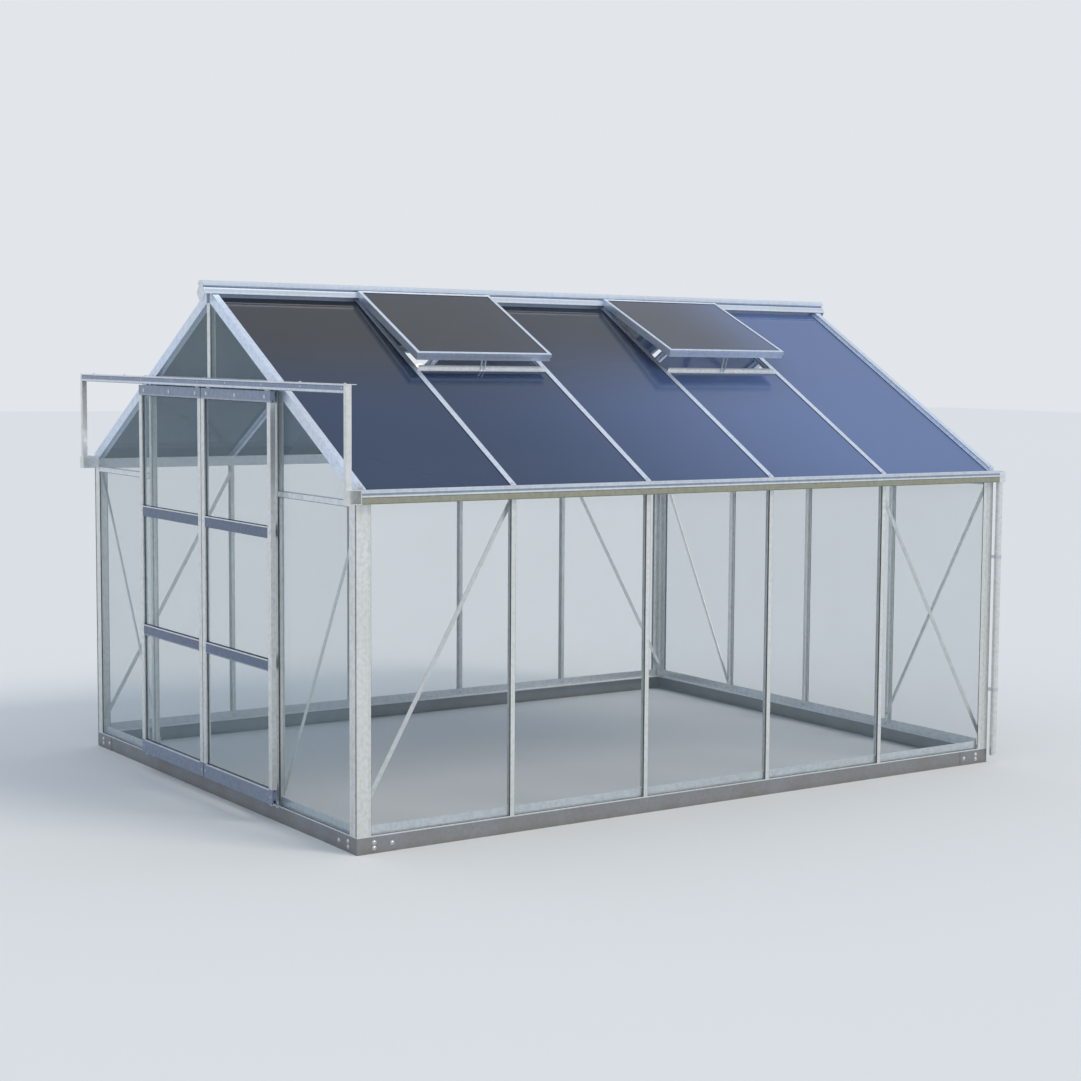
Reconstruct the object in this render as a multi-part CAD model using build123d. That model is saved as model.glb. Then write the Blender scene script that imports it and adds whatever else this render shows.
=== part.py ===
from build123d import *
import math
import os

# Greenhouse with a ridge roof: ribbed metal glazing bars on a low base, five bays long and
# four bays wide, two sliding door leaves in one gable and two top-hung vents in each slope.
# Millimetres. X runs along the ridge from the door gable, -Y is the front long wall, +Z is up.

# Plan
bay = 720.0
corner_allowance = 40.0
side_bays = 5
end_bays = 4
length = side_bays * bay + 2 * corner_allowance
width = end_bays * bay + 2 * corner_allowance

# Heights: the base, the walls on it, the roof over the gutters and the crown over the roof lines
base_height = 72.0
wall_height = 1409.0
eave_rise = 59.0
roof_pitch = 29.4
transom_drop = 3.0
crown_rise = 58.0

# Clearance of seated panes and turning wheels
play = 0.3

# Base rails and their corner plates
base_flange = 42.0
base_wall = 2.5
corner_plate_reach = 190.0
corner_plate_wall = 2.0

# Sills that carry the panes and bars
sill_depth = 42.0
sill_wall = 3.0
sill_lip = 2.5
sill_lip_height = 6.0
sill_upstand_depth = 13.0
sill_upstand_height = 46.0

# Glazing bars
bar_cap = 22.0
bar_cap_wall = 3.0
bar_web = 5.0
bar_rest = 28.0
bar_rest_wall = 2.5
bar_depth = 32.0
bar_channel = 18.0
pane_edge = 1.5
wall_pane = 4.0
roof_pane = 4.0
roof_bar_depth = 34.0
roof_bar_cap = 28.0

# Corner posts
post_leg = 66.0
post_wall = 3.0
post_rest = 60.0
post_groove_depth = 10.0
post_groove_width = 11.0
post_flute_depth = 1.2
post_flute_width = 20.0
post_rib = 8.0

# Transoms
transom_cap = 24.0
transom_rest = 30.0
header_cap = 34.0
header_rest = 40.0

# Eave gutters and their downpipes
gutter_reach = 50.0
gutter_inside = 58.0
gutter_wall = 3.0
gutter_height = 61.0
gutter_rib = 6.0
pane_drip = 12.0
pipe_size = 36.0
pipe_wall = 2.0
pipe_end = 40.0
outlet_length = 42.0
outlet_width = 44.0

# Ridge beam; the crown is given by its half widths and their depths below the top
ridge_overhang = 34.0
ridge_plate = 2.5
ridge_plate_drop = 99.0
ridge_plate_foot = 16.0
ridge_web = 36.0
ridge_web_drop = 107.0
ridge_wall = 2.5
ridge_lip_drop = 62.0
ridge_lip = 6.0
ridge_lip_reach = 46.0
crown_widths = (0.0, 14.0, 27.0, 32.0, 32.0, 22.0, 22.0, 33.0, 34.0)
crown_depths = (0.0, 1.0, 5.0, 11.0, 24.0, 26.0, 33.0, 34.0, 40.0)
crown_core = 18.0
crown_wall = 12.0

# Gable rafters
rafter_width = 30.5
rafter_rise = 15.0
rafter_cap = 45.0
rafter_rest = 42.0

# Diagonal braces
brace_width = 20.0
brace_wall = 3.0
brace_inset = 22.0
brace_foot = 68.0
brace_head = 19.0

# Roof vents; the lift is how far the foot of an open vent stands off the slope
near_vent_lift = 34.6
far_vent_lift = 69.9
vent_length = 665.0
vent_overlap = 10.0
vent_rail = 24.0
vent_top_rail = 26.0
vent_depth = 38.0
vent_lip = 18.0
vent_skirt = 16.0
vent_step = 3.0
vent_pane = 4.0
vent_pane_drop = 1.0
vent_hinge_rise = 34.0
vent_reveal = 26.0
vent_sill_cap = 20.0
vent_sill_upstand = 18.0
stay_spacing = 20.0
stay_width = 14.0
stay_wall = 3.0

# Door leaves
leaf_gap = 6.0
leaf_lap = 30.0
leaf_foot = 16.0
leaf_depth = 22.0
leaf_offset = 21.0
leaf_stile = 35.0
leaf_stile_wall = 2.5
leaf_top_rail = 50.0
leaf_mid_rail = 52.0
leaf_bottom_rail = 68.0
leaf_rail_shares = (0.3535, 0.676)
leaf_pane = 4.0
groove_reach = 8.0
groove_margin = 1.0

# Door track, over the underside of the rafters at the jambs, with its end posts and brackets
track_rise = 7.8
track_height = 38.0
track_reach = 60.0
track_wall = 3.0
track_recess = 2.0
track_edge = 6.0
track_band = 12.0
track_flange = 18.0
track_back = 34.0
track_overhang = 32.0
rail_lip = 2.5
rail_lip_height = 9.0
end_post_width = 24.0
end_post_depth = 24.0
end_post_inset = 4.0
bracket_wall = 3.0

# Door hangers and floor guides
leaf_drop = 6.0
wheel_radius = 11.0
wheel_rim = 2.5
wheel_rim_width = 2.5
wheel_tread = 4.0
axle_radius = 3.0
axle_head_radius = 5.0
axle_head = 2.0
hanger_inset = 60.0
hanger_width = 36.0
hanger_wall = 3.0
hanger_offset = 30.0
hanger_foot = 8.0
hanger_rise = 9.0
guide_fin = 4.0
guide_clearance = 5.0
guide_length = 30.0
guide_fin_rise = 15.0
guide_plate = 3.0
guide_plate_drop = 14.0

# Values worked out from the ones above
slope_run = math.cos(math.radians(roof_pitch))
slope_rise = math.tan(math.radians(roof_pitch))
gutter_bottom = base_height + wall_height
gutter_top = gutter_bottom + gutter_height
roof_start = gutter_bottom + eave_rise
transom_height = gutter_bottom - transom_drop
post_tube = bar_depth
pane_top = bar_cap_wall + play
rest_depth = bar_cap_wall + wall_pane + 2 * play
roof_rest_depth = bar_cap_wall + roof_pane + 2 * play
sill_top = base_height + sill_wall
rafter_underside = roof_bar_depth / slope_run
ridge_top = roof_start + width / 2 * slope_rise + crown_rise
ridge_plate_bottom = ridge_top - ridge_plate_drop
ridge_web_bottom = ridge_top - ridge_web_drop
ridge_web_face = width / 2 - ridge_web / 2
ridge_lip_height = ridge_top - ridge_lip_drop
vent_bays = range(1, side_bays, 2)
vent_width = bay + 2 * vent_overlap
vent_hinge_height = ridge_lip_height + vent_hinge_rise
vent_sill_place = width / 2 / slope_run - vent_length - vent_reveal
track_bottom = roof_start + (corner_allowance + bay) * slope_rise - rafter_underside + track_rise
track_top = track_bottom + track_height
leaf_width = bay + leaf_lap
leaf_bottom = base_height + leaf_foot
leaf_top = track_bottom - leaf_drop
plan_centre = (length + outlet_length - track_reach) / 2
side_lines = [corner_allowance + i * bay for i in range(1, side_bays)]
end_lines = [corner_allowance + i * bay for i in range(1, end_bays)]

# Frames of the four walls: local x runs along the wall, local y runs inwards, z is up
front_wall = Plane((0, 0, 0), x_dir=(1, 0, 0), z_dir=(0, 0, 1)).location
back_wall = Plane((length, width, 0), x_dir=(-1, 0, 0), z_dir=(0, 0, 1)).location
door_gable = Plane((0, width, 0), x_dir=(0, -1, 0), z_dir=(0, 0, 1)).location
rear_gable = Plane((length, 0, 0), x_dir=(0, 1, 0), z_dir=(0, 0, 1)).location
walls = (front_wall, back_wall, door_gable, rear_gable)

# Frame of the front slope: local x along the eave, local y up the slope, local z outwards
front_slope = Plane(
    (0, 0, roof_start),
    x_dir=(1, 0, 0),
    z_dir=(0, -math.sin(math.radians(roof_pitch)), slope_run),
).location
half_turn = Pos(length / 2, width / 2, 0) * Rot(0, 0, 180) * Pos(-length / 2, -width / 2, 0)


def block(x0, x1, y0, y1, z0, z1):
    """Box between two corners."""
    size = (x1 - x0, y1 - y0, z1 - z0)
    return Pos(x0, y0, z0) * Box(*size, align=(Align.MIN, Align.MIN, Align.MIN))


def area(x0, x1, y0, y1):
    """Rectangle between two corners."""
    return Pos(x0, y0) * Rectangle(x1 - x0, y1 - y0, align=(Align.MIN, Align.MIN))


def fused(pieces):
    """One shape from touching or overlapping pieces."""
    result = pieces[0]
    for piece in pieces[1:]:
        result = result + piece
    return result


def roof_line(y):
    """Height of the outer face of the roof bars over a point y in from the front wall."""
    return roof_start + min(y, width - y) * slope_rise


def underside(y):
    """Height of the underside of the rafters over a point y in from the front wall."""
    return roof_line(y) - rafter_underside


nodes = {}


def add(name, pieces):
    """Keep the separate solids of one node, moved to the frame of the whole building."""
    to_frame = Pos(-plan_centre, -width / 2, 0)
    solids = []
    for piece in pieces:
        solids.extend((to_frame * piece).solids())
    nodes[name] = solids


# Base rails: channels with the web outside, joined by angle plates at the corners

def base_rail(start, end):
    section = fused([
        area(corner_plate_wall, corner_plate_wall + base_wall, 0, base_height),
        area(corner_plate_wall, corner_plate_wall + base_flange, 0, base_wall),
        area(corner_plate_wall, corner_plate_wall + base_flange, base_height - base_wall, base_height),
    ])
    return extrude(Plane((start, 0, 0), x_dir=(0, 1, 0), z_dir=(1, 0, 0)) * section, end - start)


def corner_plate():
    reach = corner_plate_reach
    wall = corner_plate_wall
    return extrude(area(0, reach, 0, wall) + area(0, wall, 0, reach), base_height)


side_base = base_rail(corner_plate_wall, length - corner_plate_wall)
end_start = corner_plate_wall + base_flange
end_base = base_rail(end_start, width - end_start)
add("base_side_rails", [front_wall * side_base, back_wall * side_base])
add("base_end_rails", [door_gable * end_base, rear_gable * end_base])
add("base_corner_plates", [wall * corner_plate() for wall in walls])


# Sills: a seat with a low outer lip and a taller inner upstand behind the panes

sill_over = base_height + sill_upstand_height + 1


def sill(start, end, total):
    upstand_face = sill_upstand_depth + sill_lip
    section = fused([
        area(0, sill_depth, base_height, sill_top),
        area(0, sill_lip, base_height, base_height + sill_lip_height),
        area(sill_upstand_depth, upstand_face, base_height, base_height + sill_upstand_height),
    ])
    body = extrude(Plane((start, 0, 0), x_dir=(0, 1, 0), z_dir=(1, 0, 0)) * section, end - start)
    corner = post_leg + play
    body = body - block(-1, corner, -1, corner, sill_top, sill_over)
    return body - block(total - corner, total + 1, -1, corner, sill_top, sill_over)


# The sill of the door gable is cut under each jamb; between them it is a low threshold
side_sill = sill(0, length, length)
end_sill = sill(sill_depth, width - sill_depth, width)
door_sill = end_sill - block(end_lines[0], end_lines[-1], -1, sill_depth + 1, sill_top, sill_over)
for line in (end_lines[0], end_lines[-1]):
    door_sill = door_sill - block(line - play / 2, line + play / 2, -1, sill_depth + 1, 0, sill_over)
add("side_sills", [front_wall * side_sill, back_wall * side_sill])
add("end_sills", [door_gable * door_sill, rear_gable * end_sill])


# Corner posts: a tube of two chambers with a leg along each wall and a rest behind each pane;
# the gable face has a deep groove and the long side's leg a shallow one
mirror_plane = Plane((0, width / 2, 0), x_dir=(1, 0, 0), z_dir=(0, 1, 0))


def corner_post():
    wall = post_wall
    inner = post_tube - wall
    groove_end = wall + post_groove_width
    flute_end = post_leg - post_rib
    section = fused([
        area(0, post_tube, 0, post_tube),
        area(0, post_leg, 0, wall),
        area(0, wall, 0, post_leg),
        area(0, post_rest, rest_depth, rest_depth + bar_rest_wall),
        area(rest_depth, rest_depth + bar_rest_wall, 0, post_rest),
    ])
    section = section - area(post_groove_depth + wall, inner, wall, inner)
    section = section - area(wall, post_groove_depth, groove_end + wall, inner)
    section = section - area(0, post_groove_depth, wall, groove_end)
    section = section - area(flute_end - post_flute_width, flute_end, 0, post_flute_depth)
    return extrude(Pos(0, 0, sill_top) * section, gutter_bottom - sill_top)


posts = [wall * corner_post() for wall in (front_wall, back_wall)]
add("corner_posts", posts + [mirror(post, about=mirror_plane) for post in posts])


# Glazing bars: a cap outside, a web, a rest behind the panes and a flange inside

def bar_section(cap, rest, rest_at, depth):
    return fused([
        area(-cap / 2, cap / 2, 0, bar_cap_wall),
        area(-bar_web / 2, bar_web / 2, 0, depth),
        area(-rest / 2, rest / 2, rest_at, rest_at + bar_rest_wall),
        area(-bar_channel / 2, bar_channel / 2, depth - bar_rest_wall, depth),
    ])


def upright(place, bottom, top):
    section = bar_section(bar_cap, bar_rest, rest_depth, bar_depth)
    bar = extrude(Pos(place, 0, bottom) * section, top - bottom)
    notch_top = base_height + sill_upstand_height + play
    reach = bar_rest / 2
    notch = block(place - reach, place + reach, sill_upstand_depth - play, bar_depth, 0, notch_top)
    return bar - notch


bar_foot = base_height + sill_lip_height
side_uprights = [upright(place, bar_foot, gutter_bottom) for place in side_lines]
add("front_uprights", [front_wall * bar for bar in side_uprights])
add("back_uprights", [back_wall * bar for bar in side_uprights])

# Everything in a gable ends under the rafters and under the box of the ridge beam
under_ridge = (ridge_web_bottom - underside(0)) / slope_rise
gable_outline = Polyline(
    (0, 0), (width, 0), (width, underside(0)), (width - under_ridge, ridge_web_bottom),
    (under_ridge, ridge_web_bottom), (0, underside(0)), (0, 0),
)
gable_space = extrude(
    Plane((-1, 0, 0), x_dir=(0, 1, 0), z_dir=(1, 0, 0)) * make_face(gable_outline), length + 2
)
rear_bars = [rear_gable * upright(place, bar_foot, ridge_top) for place in end_lines]
add("rear_uprights", [bar & gable_space for bar in rear_bars])
jambs = [door_gable * upright(place, bar_foot, ridge_top) for place in (end_lines[0], end_lines[-1])]
add("door_jambs", [bar & gable_space for bar in jambs])

# Transoms between the uprights of a gable, and the header behind the door track

def cross_bar(start, end, height, cap, rest):
    section = bar_section(cap, rest, rest_depth, bar_depth)
    return extrude(Plane((start, 0, height), x_dir=(0, 0, -1), z_dir=(1, 0, 0)) * section, end - start)


def transom(gap):
    return cross_bar(gap[0], gap[1], transom_height, transom_cap, transom_rest)


def gaps_between(lines, total):
    """Start and end of each clear gap between corner posts and uprights."""
    starts = [post_leg] + [line + bar_rest / 2 for line in lines]
    ends = [line - bar_rest / 2 for line in lines] + [total - post_leg]
    return list(zip(starts, ends))


gable_gaps = gaps_between(end_lines, width)
door_transoms = [door_gable * transom(gable_gaps[i]) for i in (0, -1)]
rear_transoms = [rear_gable * transom(gap) for gap in gable_gaps]
add("gable_transoms", door_transoms + rear_transoms)
header_height = track_top - header_cap / 2
header_start = end_lines[0] + bar_rest / 2
header_end = end_lines[-1] - bar_rest / 2
header = door_gable * cross_bar(header_start, header_end, header_height, header_cap, header_rest)
add("door_header", [header & gable_space])
mullion_bottom = header_height + header_rest / 2
mullion = extrude(
    Pos(width / 2, 0, mullion_bottom) * bar_section(header_cap, header_rest, rest_depth, bar_depth),
    ridge_web_bottom - mullion_bottom,
)
add("gable_mullion", [(door_gable * mullion) & gable_space])


# Eave rails: closed boxes with a sloping seat that carry the feet of the roof bars
across = Plane((0, 0, 0), x_dir=(0, 1, 0), z_dir=(1, 0, 0))


def eave_rail():
    wall = gutter_wall
    inner = gutter_inside - wall
    seat_wall = wall / slope_run
    outline = Polygon(
        (0, gutter_bottom), (gutter_inside, gutter_bottom),
        (gutter_inside, underside(gutter_inside)), (0, underside(0)), align=None,
    )
    core = Polygon(
        (wall, gutter_bottom + wall), (inner, gutter_bottom + wall),
        (inner, underside(inner) - seat_wall), (wall, underside(wall) - seat_wall), align=None,
    )
    hollow = Pos(wall, 0, 0) * extrude(across * core, length - 2 * wall)
    return extrude(across * outline, length) - hollow


add("eave_rails", [eave_rail(), mirror(eave_rail(), about=mirror_plane)])


# Eave gutters: a floor strip on the foot of the eave rail and a ribbed face clipped in front of it

def gutter_floor():
    inner = 2 * gutter_wall - gutter_reach
    section = area(inner + play, 0, gutter_bottom, gutter_bottom + gutter_wall)
    return extrude(across * section, length)


def gutter_face():
    outer = -gutter_reach
    inner = outer + 2 * gutter_wall
    middle = gutter_bottom + gutter_height / 2
    section = fused([
        area(outer + gutter_wall, inner, gutter_bottom, gutter_top),
        area(outer, inner, gutter_top - gutter_rib, gutter_top),
        area(outer, inner, middle, middle + gutter_rib),
    ])
    return extrude(across * section, length)


front_gutter = [gutter_floor(), gutter_face()]
add("eave_gutters", front_gutter + [mirror(strip, about=mirror_plane) for strip in front_gutter])

# Outlets at the rear ends of the gutters, and the pipes below them
outlet_middle = -gutter_reach / 2
pipe_x = length + outlet_length / 2


def outlet():
    wall = gutter_wall
    low = outlet_middle - outlet_width / 2
    high = outlet_middle + outlet_width / 2
    end = length + outlet_length
    top = gutter_top - gutter_rib
    outer = block(length, end, low, high, gutter_bottom, top)
    inner = block(length - 1, end - wall, low + wall, high - wall, gutter_bottom + wall, top + 1)
    drain = Pos(pipe_x, outlet_middle, gutter_bottom) * Cylinder(pipe_size / 2 - pipe_wall, 4 * wall)
    return outer - inner - drain


def downpipe():
    ring = Circle(pipe_size / 2) - Circle(pipe_size / 2 - pipe_wall)
    return Pos(pipe_x, outlet_middle, pipe_end) * extrude(ring, gutter_bottom - pipe_end)


add("gutter_outlets", [outlet(), mirror(outlet(), about=mirror_plane)])
add("downpipes", [downpipe(), mirror(downpipe(), about=mirror_plane)])


# Ridge beam: a capped crown that oversails the gables, on a box that takes the bar ends

def crown_outline():
    """Right half of the crown, from the middle of the ridge."""
    points = [(reach, ridge_top - depth) for reach, depth in zip(crown_widths, crown_depths)]
    points.append((ridge_lip_reach, ridge_lip_height + ridge_lip))
    points.append((ridge_lip_reach, ridge_lip_height))
    points.append((0, ridge_lip_height))
    points.append(points[0])
    return make_face(Polyline(*points))


def ridge():
    hollow = area(0, crown_core, ridge_lip_height + ridge_wall, ridge_top - crown_wall)
    crown_half = crown_outline() - hollow
    crown_section = crown_half + mirror(crown_half, about=Plane.YZ)
    side = ridge_web / 2
    inner = side - ridge_wall
    web = area(-side, side, ridge_web_bottom, ridge_lip_height)
    core = area(-inner, inner, ridge_web_bottom + ridge_wall, ridge_lip_height)
    crown_start = Plane((-ridge_overhang, width / 2, 0), x_dir=(0, 1, 0), z_dir=(1, 0, 0))
    web_start = Plane((0, width / 2, 0), x_dir=(0, 1, 0), z_dir=(1, 0, 0))
    box = extrude(web_start * web, length)
    box = box - extrude(web_start.offset(ridge_wall) * core, length - 2 * ridge_wall)
    return extrude(crown_start * crown_section, length + 2 * ridge_overhang) + box


def ridge_end_plate():
    taper = Polygon(
        (0, ridge_plate_bottom), (ridge_plate_foot, ridge_plate_bottom),
        (ridge_lip_reach, ridge_lip_height), (0, ridge_lip_height), align=None,
    )
    half = crown_outline() + taper
    outline = half + mirror(half, about=Plane.YZ)
    start = Plane((-ridge_overhang - ridge_plate, width / 2, 0), x_dir=(0, 1, 0), z_dir=(1, 0, 0))
    return extrude(start * outline, ridge_plate)


add("ridge_beam", [ridge()])
add("ridge_end_plates", [ridge_end_plate(), half_turn * ridge_end_plate()])

# Roof bars and rafters are cut plumb at the gutter and at the ridge, and level under its lip
roof_space = block(-1, length + 1, 0, ridge_web_face, 0, ridge_lip_height)
slope_length = ridge_web_face / slope_run + roof_bar_depth


def along_slope(section):
    start = Plane((0, -roof_bar_depth, 0), x_dir=(1, 0, 0), z_dir=(0, 1, 0))
    return front_slope * extrude(start * section, slope_length + roof_bar_depth) & roof_space


roof_section = bar_section(roof_bar_cap, bar_rest, roof_rest_depth, roof_bar_depth)
front_bars = [along_slope(Pos(place, 0) * roof_section) for place in side_lines]
add("front_roof_bars", front_bars)
add("back_roof_bars", [half_turn * bar for bar in front_bars])


def rafter():
    """Rafter of the door gable on the front slope, a tube closed at its foot."""
    wall = post_wall
    core = area(wall, rafter_width - wall, wall - rafter_rise, roof_bar_depth - wall)
    section = fused([
        area(0, rafter_width, -rafter_rise, roof_bar_depth) - core,
        area(rafter_width, rafter_cap, 0, bar_cap_wall),
        area(rafter_width, rafter_rest, roof_rest_depth, roof_rest_depth + bar_rest_wall),
    ])
    foot = along_slope(core) & block(0, rafter_width, 0, wall, 0, ridge_top)
    return along_slope(section) + foot


middle_plane = Plane((length / 2, 0, 0), x_dir=(0, 1, 0), z_dir=(1, 0, 0))
door_rafter = rafter()
rear_rafter = mirror(door_rafter, about=middle_plane)
add("door_gable_rafters", [door_rafter, half_turn * rear_rafter])
add("rear_gable_rafters", [rear_rafter, half_turn * door_rafter])


# Flat diagonal braces on the inner flanges of the bars

def brace(low_place, high_place):
    low = base_height + brace_foot
    high = gutter_bottom - brace_head
    run = high_place - low_place
    rise = high - low
    bar = Box(math.hypot(run, rise), brace_wall, brace_width)
    middle = Pos((low_place + high_place) / 2, bar_depth + brace_wall / 2, (low + high) / 2)
    return middle * Rot(0, -math.degrees(math.atan2(rise, run)), 0) * bar


side_braces = [brace(brace_inset, side_lines[0]), brace(length - brace_inset, side_lines[-1])]
end_braces = [brace(end_lines[0], brace_inset), brace(end_lines[-1], width - brace_inset)]
wall_braces = [wall * piece for wall in (front_wall, back_wall) for piece in side_braces]
wall_braces += [wall * piece for wall in (door_gable, rear_gable) for piece in end_braces]
add("wall_braces", wall_braces)


# Panes of the walls, held between the caps and the rests

def pane_edges(lines, total):
    """Start and end of the pane in each bay."""
    inset = bar_web / 2 + pane_edge
    starts = [post_tube + pane_edge] + [line + inset for line in lines]
    ends = [line - inset for line in lines] + [total - post_tube - pane_edge]
    return list(zip(starts, ends))


def wall_sheet(edges, bottom, top):
    return block(edges[0], edges[1], pane_top, pane_top + wall_pane, bottom, top)


pane_foot = sill_top + play
pane_head = gutter_bottom - play
side_panes = [wall_sheet(edges, pane_foot, pane_head) for edges in pane_edges(side_lines, length)]
add("front_wall_panes", [front_wall * pane for pane in side_panes])
add("back_wall_panes", [back_wall * pane for pane in side_panes])
transom_edge = bar_web / 2 + pane_edge
gable_panes = pane_edges(end_lines, width)
lower_top = transom_height - transom_edge
upper_foot = transom_height + transom_edge
pane_space = (Pos(0, 0, -play) * gable_space) & block(
    -1, length + 1, gutter_inside + play, width - gutter_inside - play, 0, ridge_top
)


def gable_sheets(wall, places):
    sheets = []
    for i in places:
        sheets.append(wall * wall_sheet(gable_panes[i], pane_foot, lower_top))
        sheets.append((wall * wall_sheet(gable_panes[i], upper_foot, ridge_top)) & pane_space)
    return sheets


add("rear_gable_panes", gable_sheets(rear_gable, range(end_bays)))
header_edge = header_height + bar_web / 2 + pane_edge
over_door = [door_gable * wall_sheet(gable_panes[i], header_edge, ridge_top) & pane_space for i in (1, 2)]
add("door_gable_panes", gable_sheets(door_gable, (0, end_bays - 1)) + over_door)


# Panes of the roof; a bay with a vent has a short pane below the vent sill

def slope_sheet(start, end, low, high):
    return block(start, end, low, high, -pane_top - roof_pane, -pane_top)


def roof_edges():
    inset = bar_web / 2 + pane_edge
    starts = [rafter_width + pane_edge] + [line + inset for line in side_lines]
    ends = [line - inset for line in side_lines] + [length - rafter_width - pane_edge]
    return list(zip(starts, ends))


pane_low = -pane_drip / slope_run
pane_high = (ridge_web_face - roof_bar_depth * math.sin(math.radians(roof_pitch))) / slope_run
roof_sheets = []
for index, edges in enumerate(roof_edges()):
    high = vent_sill_place - pane_edge if index in vent_bays else pane_high
    roof_sheets.append(front_slope * slope_sheet(edges[0], edges[1], pane_low, high))
add("front_roof_panes", roof_sheets)
add("back_roof_panes", [half_turn * pane for pane in roof_sheets])


# Vent sills: cross bars between two roof bars, over the top edge of the short pane

def vent_sill(index):
    start = side_lines[index - 1] + bar_rest / 2
    end = side_lines[index] - bar_rest / 2
    low = vent_sill_place - vent_sill_cap
    wall = bar_rest_wall
    return fused([
        block(start, end, low, vent_sill_place + wall, -bar_cap_wall, 0),
        block(start, end, vent_sill_place, vent_sill_place + wall, -roof_bar_depth, vent_sill_upstand),
        block(start, end, low, vent_sill_place + wall, -roof_rest_depth - wall, -roof_rest_depth),
    ])


front_vent_sills = [front_slope * vent_sill(index) for index in vent_bays]
add("vent_sills", front_vent_sills + [half_turn * piece for piece in front_vent_sills])


# Vents: hung from the lip of the ridge and held open at the angle of each vent

def vent_bars():
    """Bars of one vent: x along the hinge, z down the slope, the outer face at y = 0.

    The lower part of the sides and of the bottom rail stands back from the upper part.
    """
    side = vent_rail
    low = vent_length - vent_rail
    inner = vent_width - vent_step
    recess = block(
        vent_lip, vent_width - vent_lip, -vent_pane_drop - vent_pane, 0, vent_lip, vent_length - vent_lip
    )
    skirt = block(0, vent_width, -vent_depth, -vent_skirt, 0, vent_length)
    skirt = skirt - block(vent_step, inner, -vent_depth, -vent_skirt, 0, vent_length - vent_step)
    bars = [
        block(0, side, -vent_depth, 0, 0, vent_length),
        block(vent_width - side, vent_width, -vent_depth, 0, 0, vent_length),
        block(side, vent_width - side, -vent_depth, 0, 0, vent_top_rail),
        block(side, vent_width - side, -vent_depth, 0, low, vent_length),
    ]
    return [bar - recess - skirt for bar in bars]


def vent_sheet():
    edge = vent_lip + play
    top = -vent_pane_drop
    return block(edge, vent_width - edge, top - vent_pane, top, edge, vent_length - edge)


hinge_y = width / 2 - ridge_lip_reach - play
before_ridge = block(0, length, 0, hinge_y, 0, ridge_top)


def vent_place(index, pitch):
    tilt = math.radians(pitch)
    hinge = (side_lines[index - 1] - vent_overlap, hinge_y, vent_hinge_height)
    return Plane(hinge, x_dir=(1, 0, 0), z_dir=(0, -math.cos(tilt), -math.sin(tilt))).location


def vent_stay(index, pitch):
    """Two flat bars between the front of the vent sill and the bottom rail of the vent."""
    middle = (side_lines[index - 1] + side_lines[index]) / 2
    place = vent_sill_place
    head = (vent_place(index, pitch) * Pos(0, -vent_depth, vent_length - vent_rail / 2)).position
    foot = (front_slope * Pos(0, place, vent_sill_upstand / 2)).position
    run = head.Y - foot.Y
    rise = head.Z - foot.Z
    reach = math.hypot(run, rise) + 2 * stay_width
    tilt = math.degrees(math.atan2(rise, run))
    strip = Rot(tilt, 0, 0) * Box(stay_wall, reach, stay_width)
    strip = Pos(0, foot.Y + run / 2, foot.Z + rise / 2) * strip
    beyond = 4 * stay_width
    above_rail = block(-beyond, vent_width + beyond, -vent_depth, beyond, 0, vent_length + beyond)
    behind_sill = block(0, length, place, place + beyond, -beyond, vent_sill_upstand)
    below_cap = block(0, length, place - beyond, place, -beyond, 0)
    bars = [Pos(middle + side * stay_spacing / 2, 0, 0) * strip for side in (-1, 1)]
    bars = [bar - vent_place(index, pitch) * above_rail for bar in bars]
    return [bar - front_slope * (behind_sill + below_cap) for bar in bars]


vent_frames = []
vent_panes = []
vent_stays = []
for index, lift in zip(vent_bays, (near_vent_lift, far_vent_lift)):
    pitch = roof_pitch - math.degrees(math.asin(lift / vent_length))
    vent_frames.extend([vent_place(index, pitch) * bar & before_ridge for bar in vent_bars()])
    vent_panes.append(vent_place(index, pitch) * vent_sheet())
    vent_stays.extend(vent_stay(index, pitch))
add("vent_frames", vent_frames + [half_turn * frame for frame in vent_frames])
add("vent_panes", vent_panes + [half_turn * pane for pane in vent_panes])
add("vent_stays", vent_stays + [half_turn * stay for stay in vent_stays])


# Door track: a channel with a wheel rail, bolted to the header; beyond the walls only its
# front lip goes on, over the top of a post at each end

def track():
    wall = track_wall
    face = -track_reach
    recess = face + track_recess
    lip_face = face + track_flange
    section = fused([
        area(face, 0, track_top - wall, track_top),
        area(recess, recess + wall, track_bottom, track_top),
        area(face, face + wall, track_top - track_edge, track_top),
        area(face, face + wall, track_bottom, track_bottom + track_band),
        area(face, lip_face, track_bottom, track_bottom + wall),
        area(lip_face - rail_lip, lip_face, track_bottom, track_bottom + rail_lip_height),
    ])
    start = Plane((-end_post_inset, 0, 0), x_dir=(0, 1, 0), z_dir=(1, 0, 0))
    body = extrude(start * section, width + 2 * end_post_inset)
    flange_low = end_lines[0] - bar_rest
    flange_high = end_lines[-1] + bar_rest
    flange = block(flange_low, flange_high, -wall, 0, track_top - track_back, track_top)
    lip = block(-track_overhang, width + track_overhang, face, face + wall, track_top - wall, track_top)
    return body + flange + lip


# Posts at the ends of the track, each on a bracket that closes the door end of a gutter and is
# open to the side

def end_post():
    wall = bracket_wall
    face = -track_reach
    bracket = block(face, 0, -gutter_reach, 0, gutter_bottom, gutter_top)
    bracket = bracket - block(
        face + wall, -wall, -gutter_reach - 1, -wall, gutter_bottom + wall, gutter_top - wall
    )
    low = -end_post_inset - end_post_width
    back = face + end_post_depth
    top = track_top - track_wall
    post = block(face, back, low, -end_post_inset, gutter_top, top)
    bore = block(
        face + wall, back - wall, low + wall, -end_post_inset - wall, gutter_top - wall - 1, top - wall
    )
    return bracket + post - bore


add("door_track", [door_gable * track()])
add("track_end_posts", [end_post(), mirror(end_post(), about=mirror_plane)])


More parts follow.
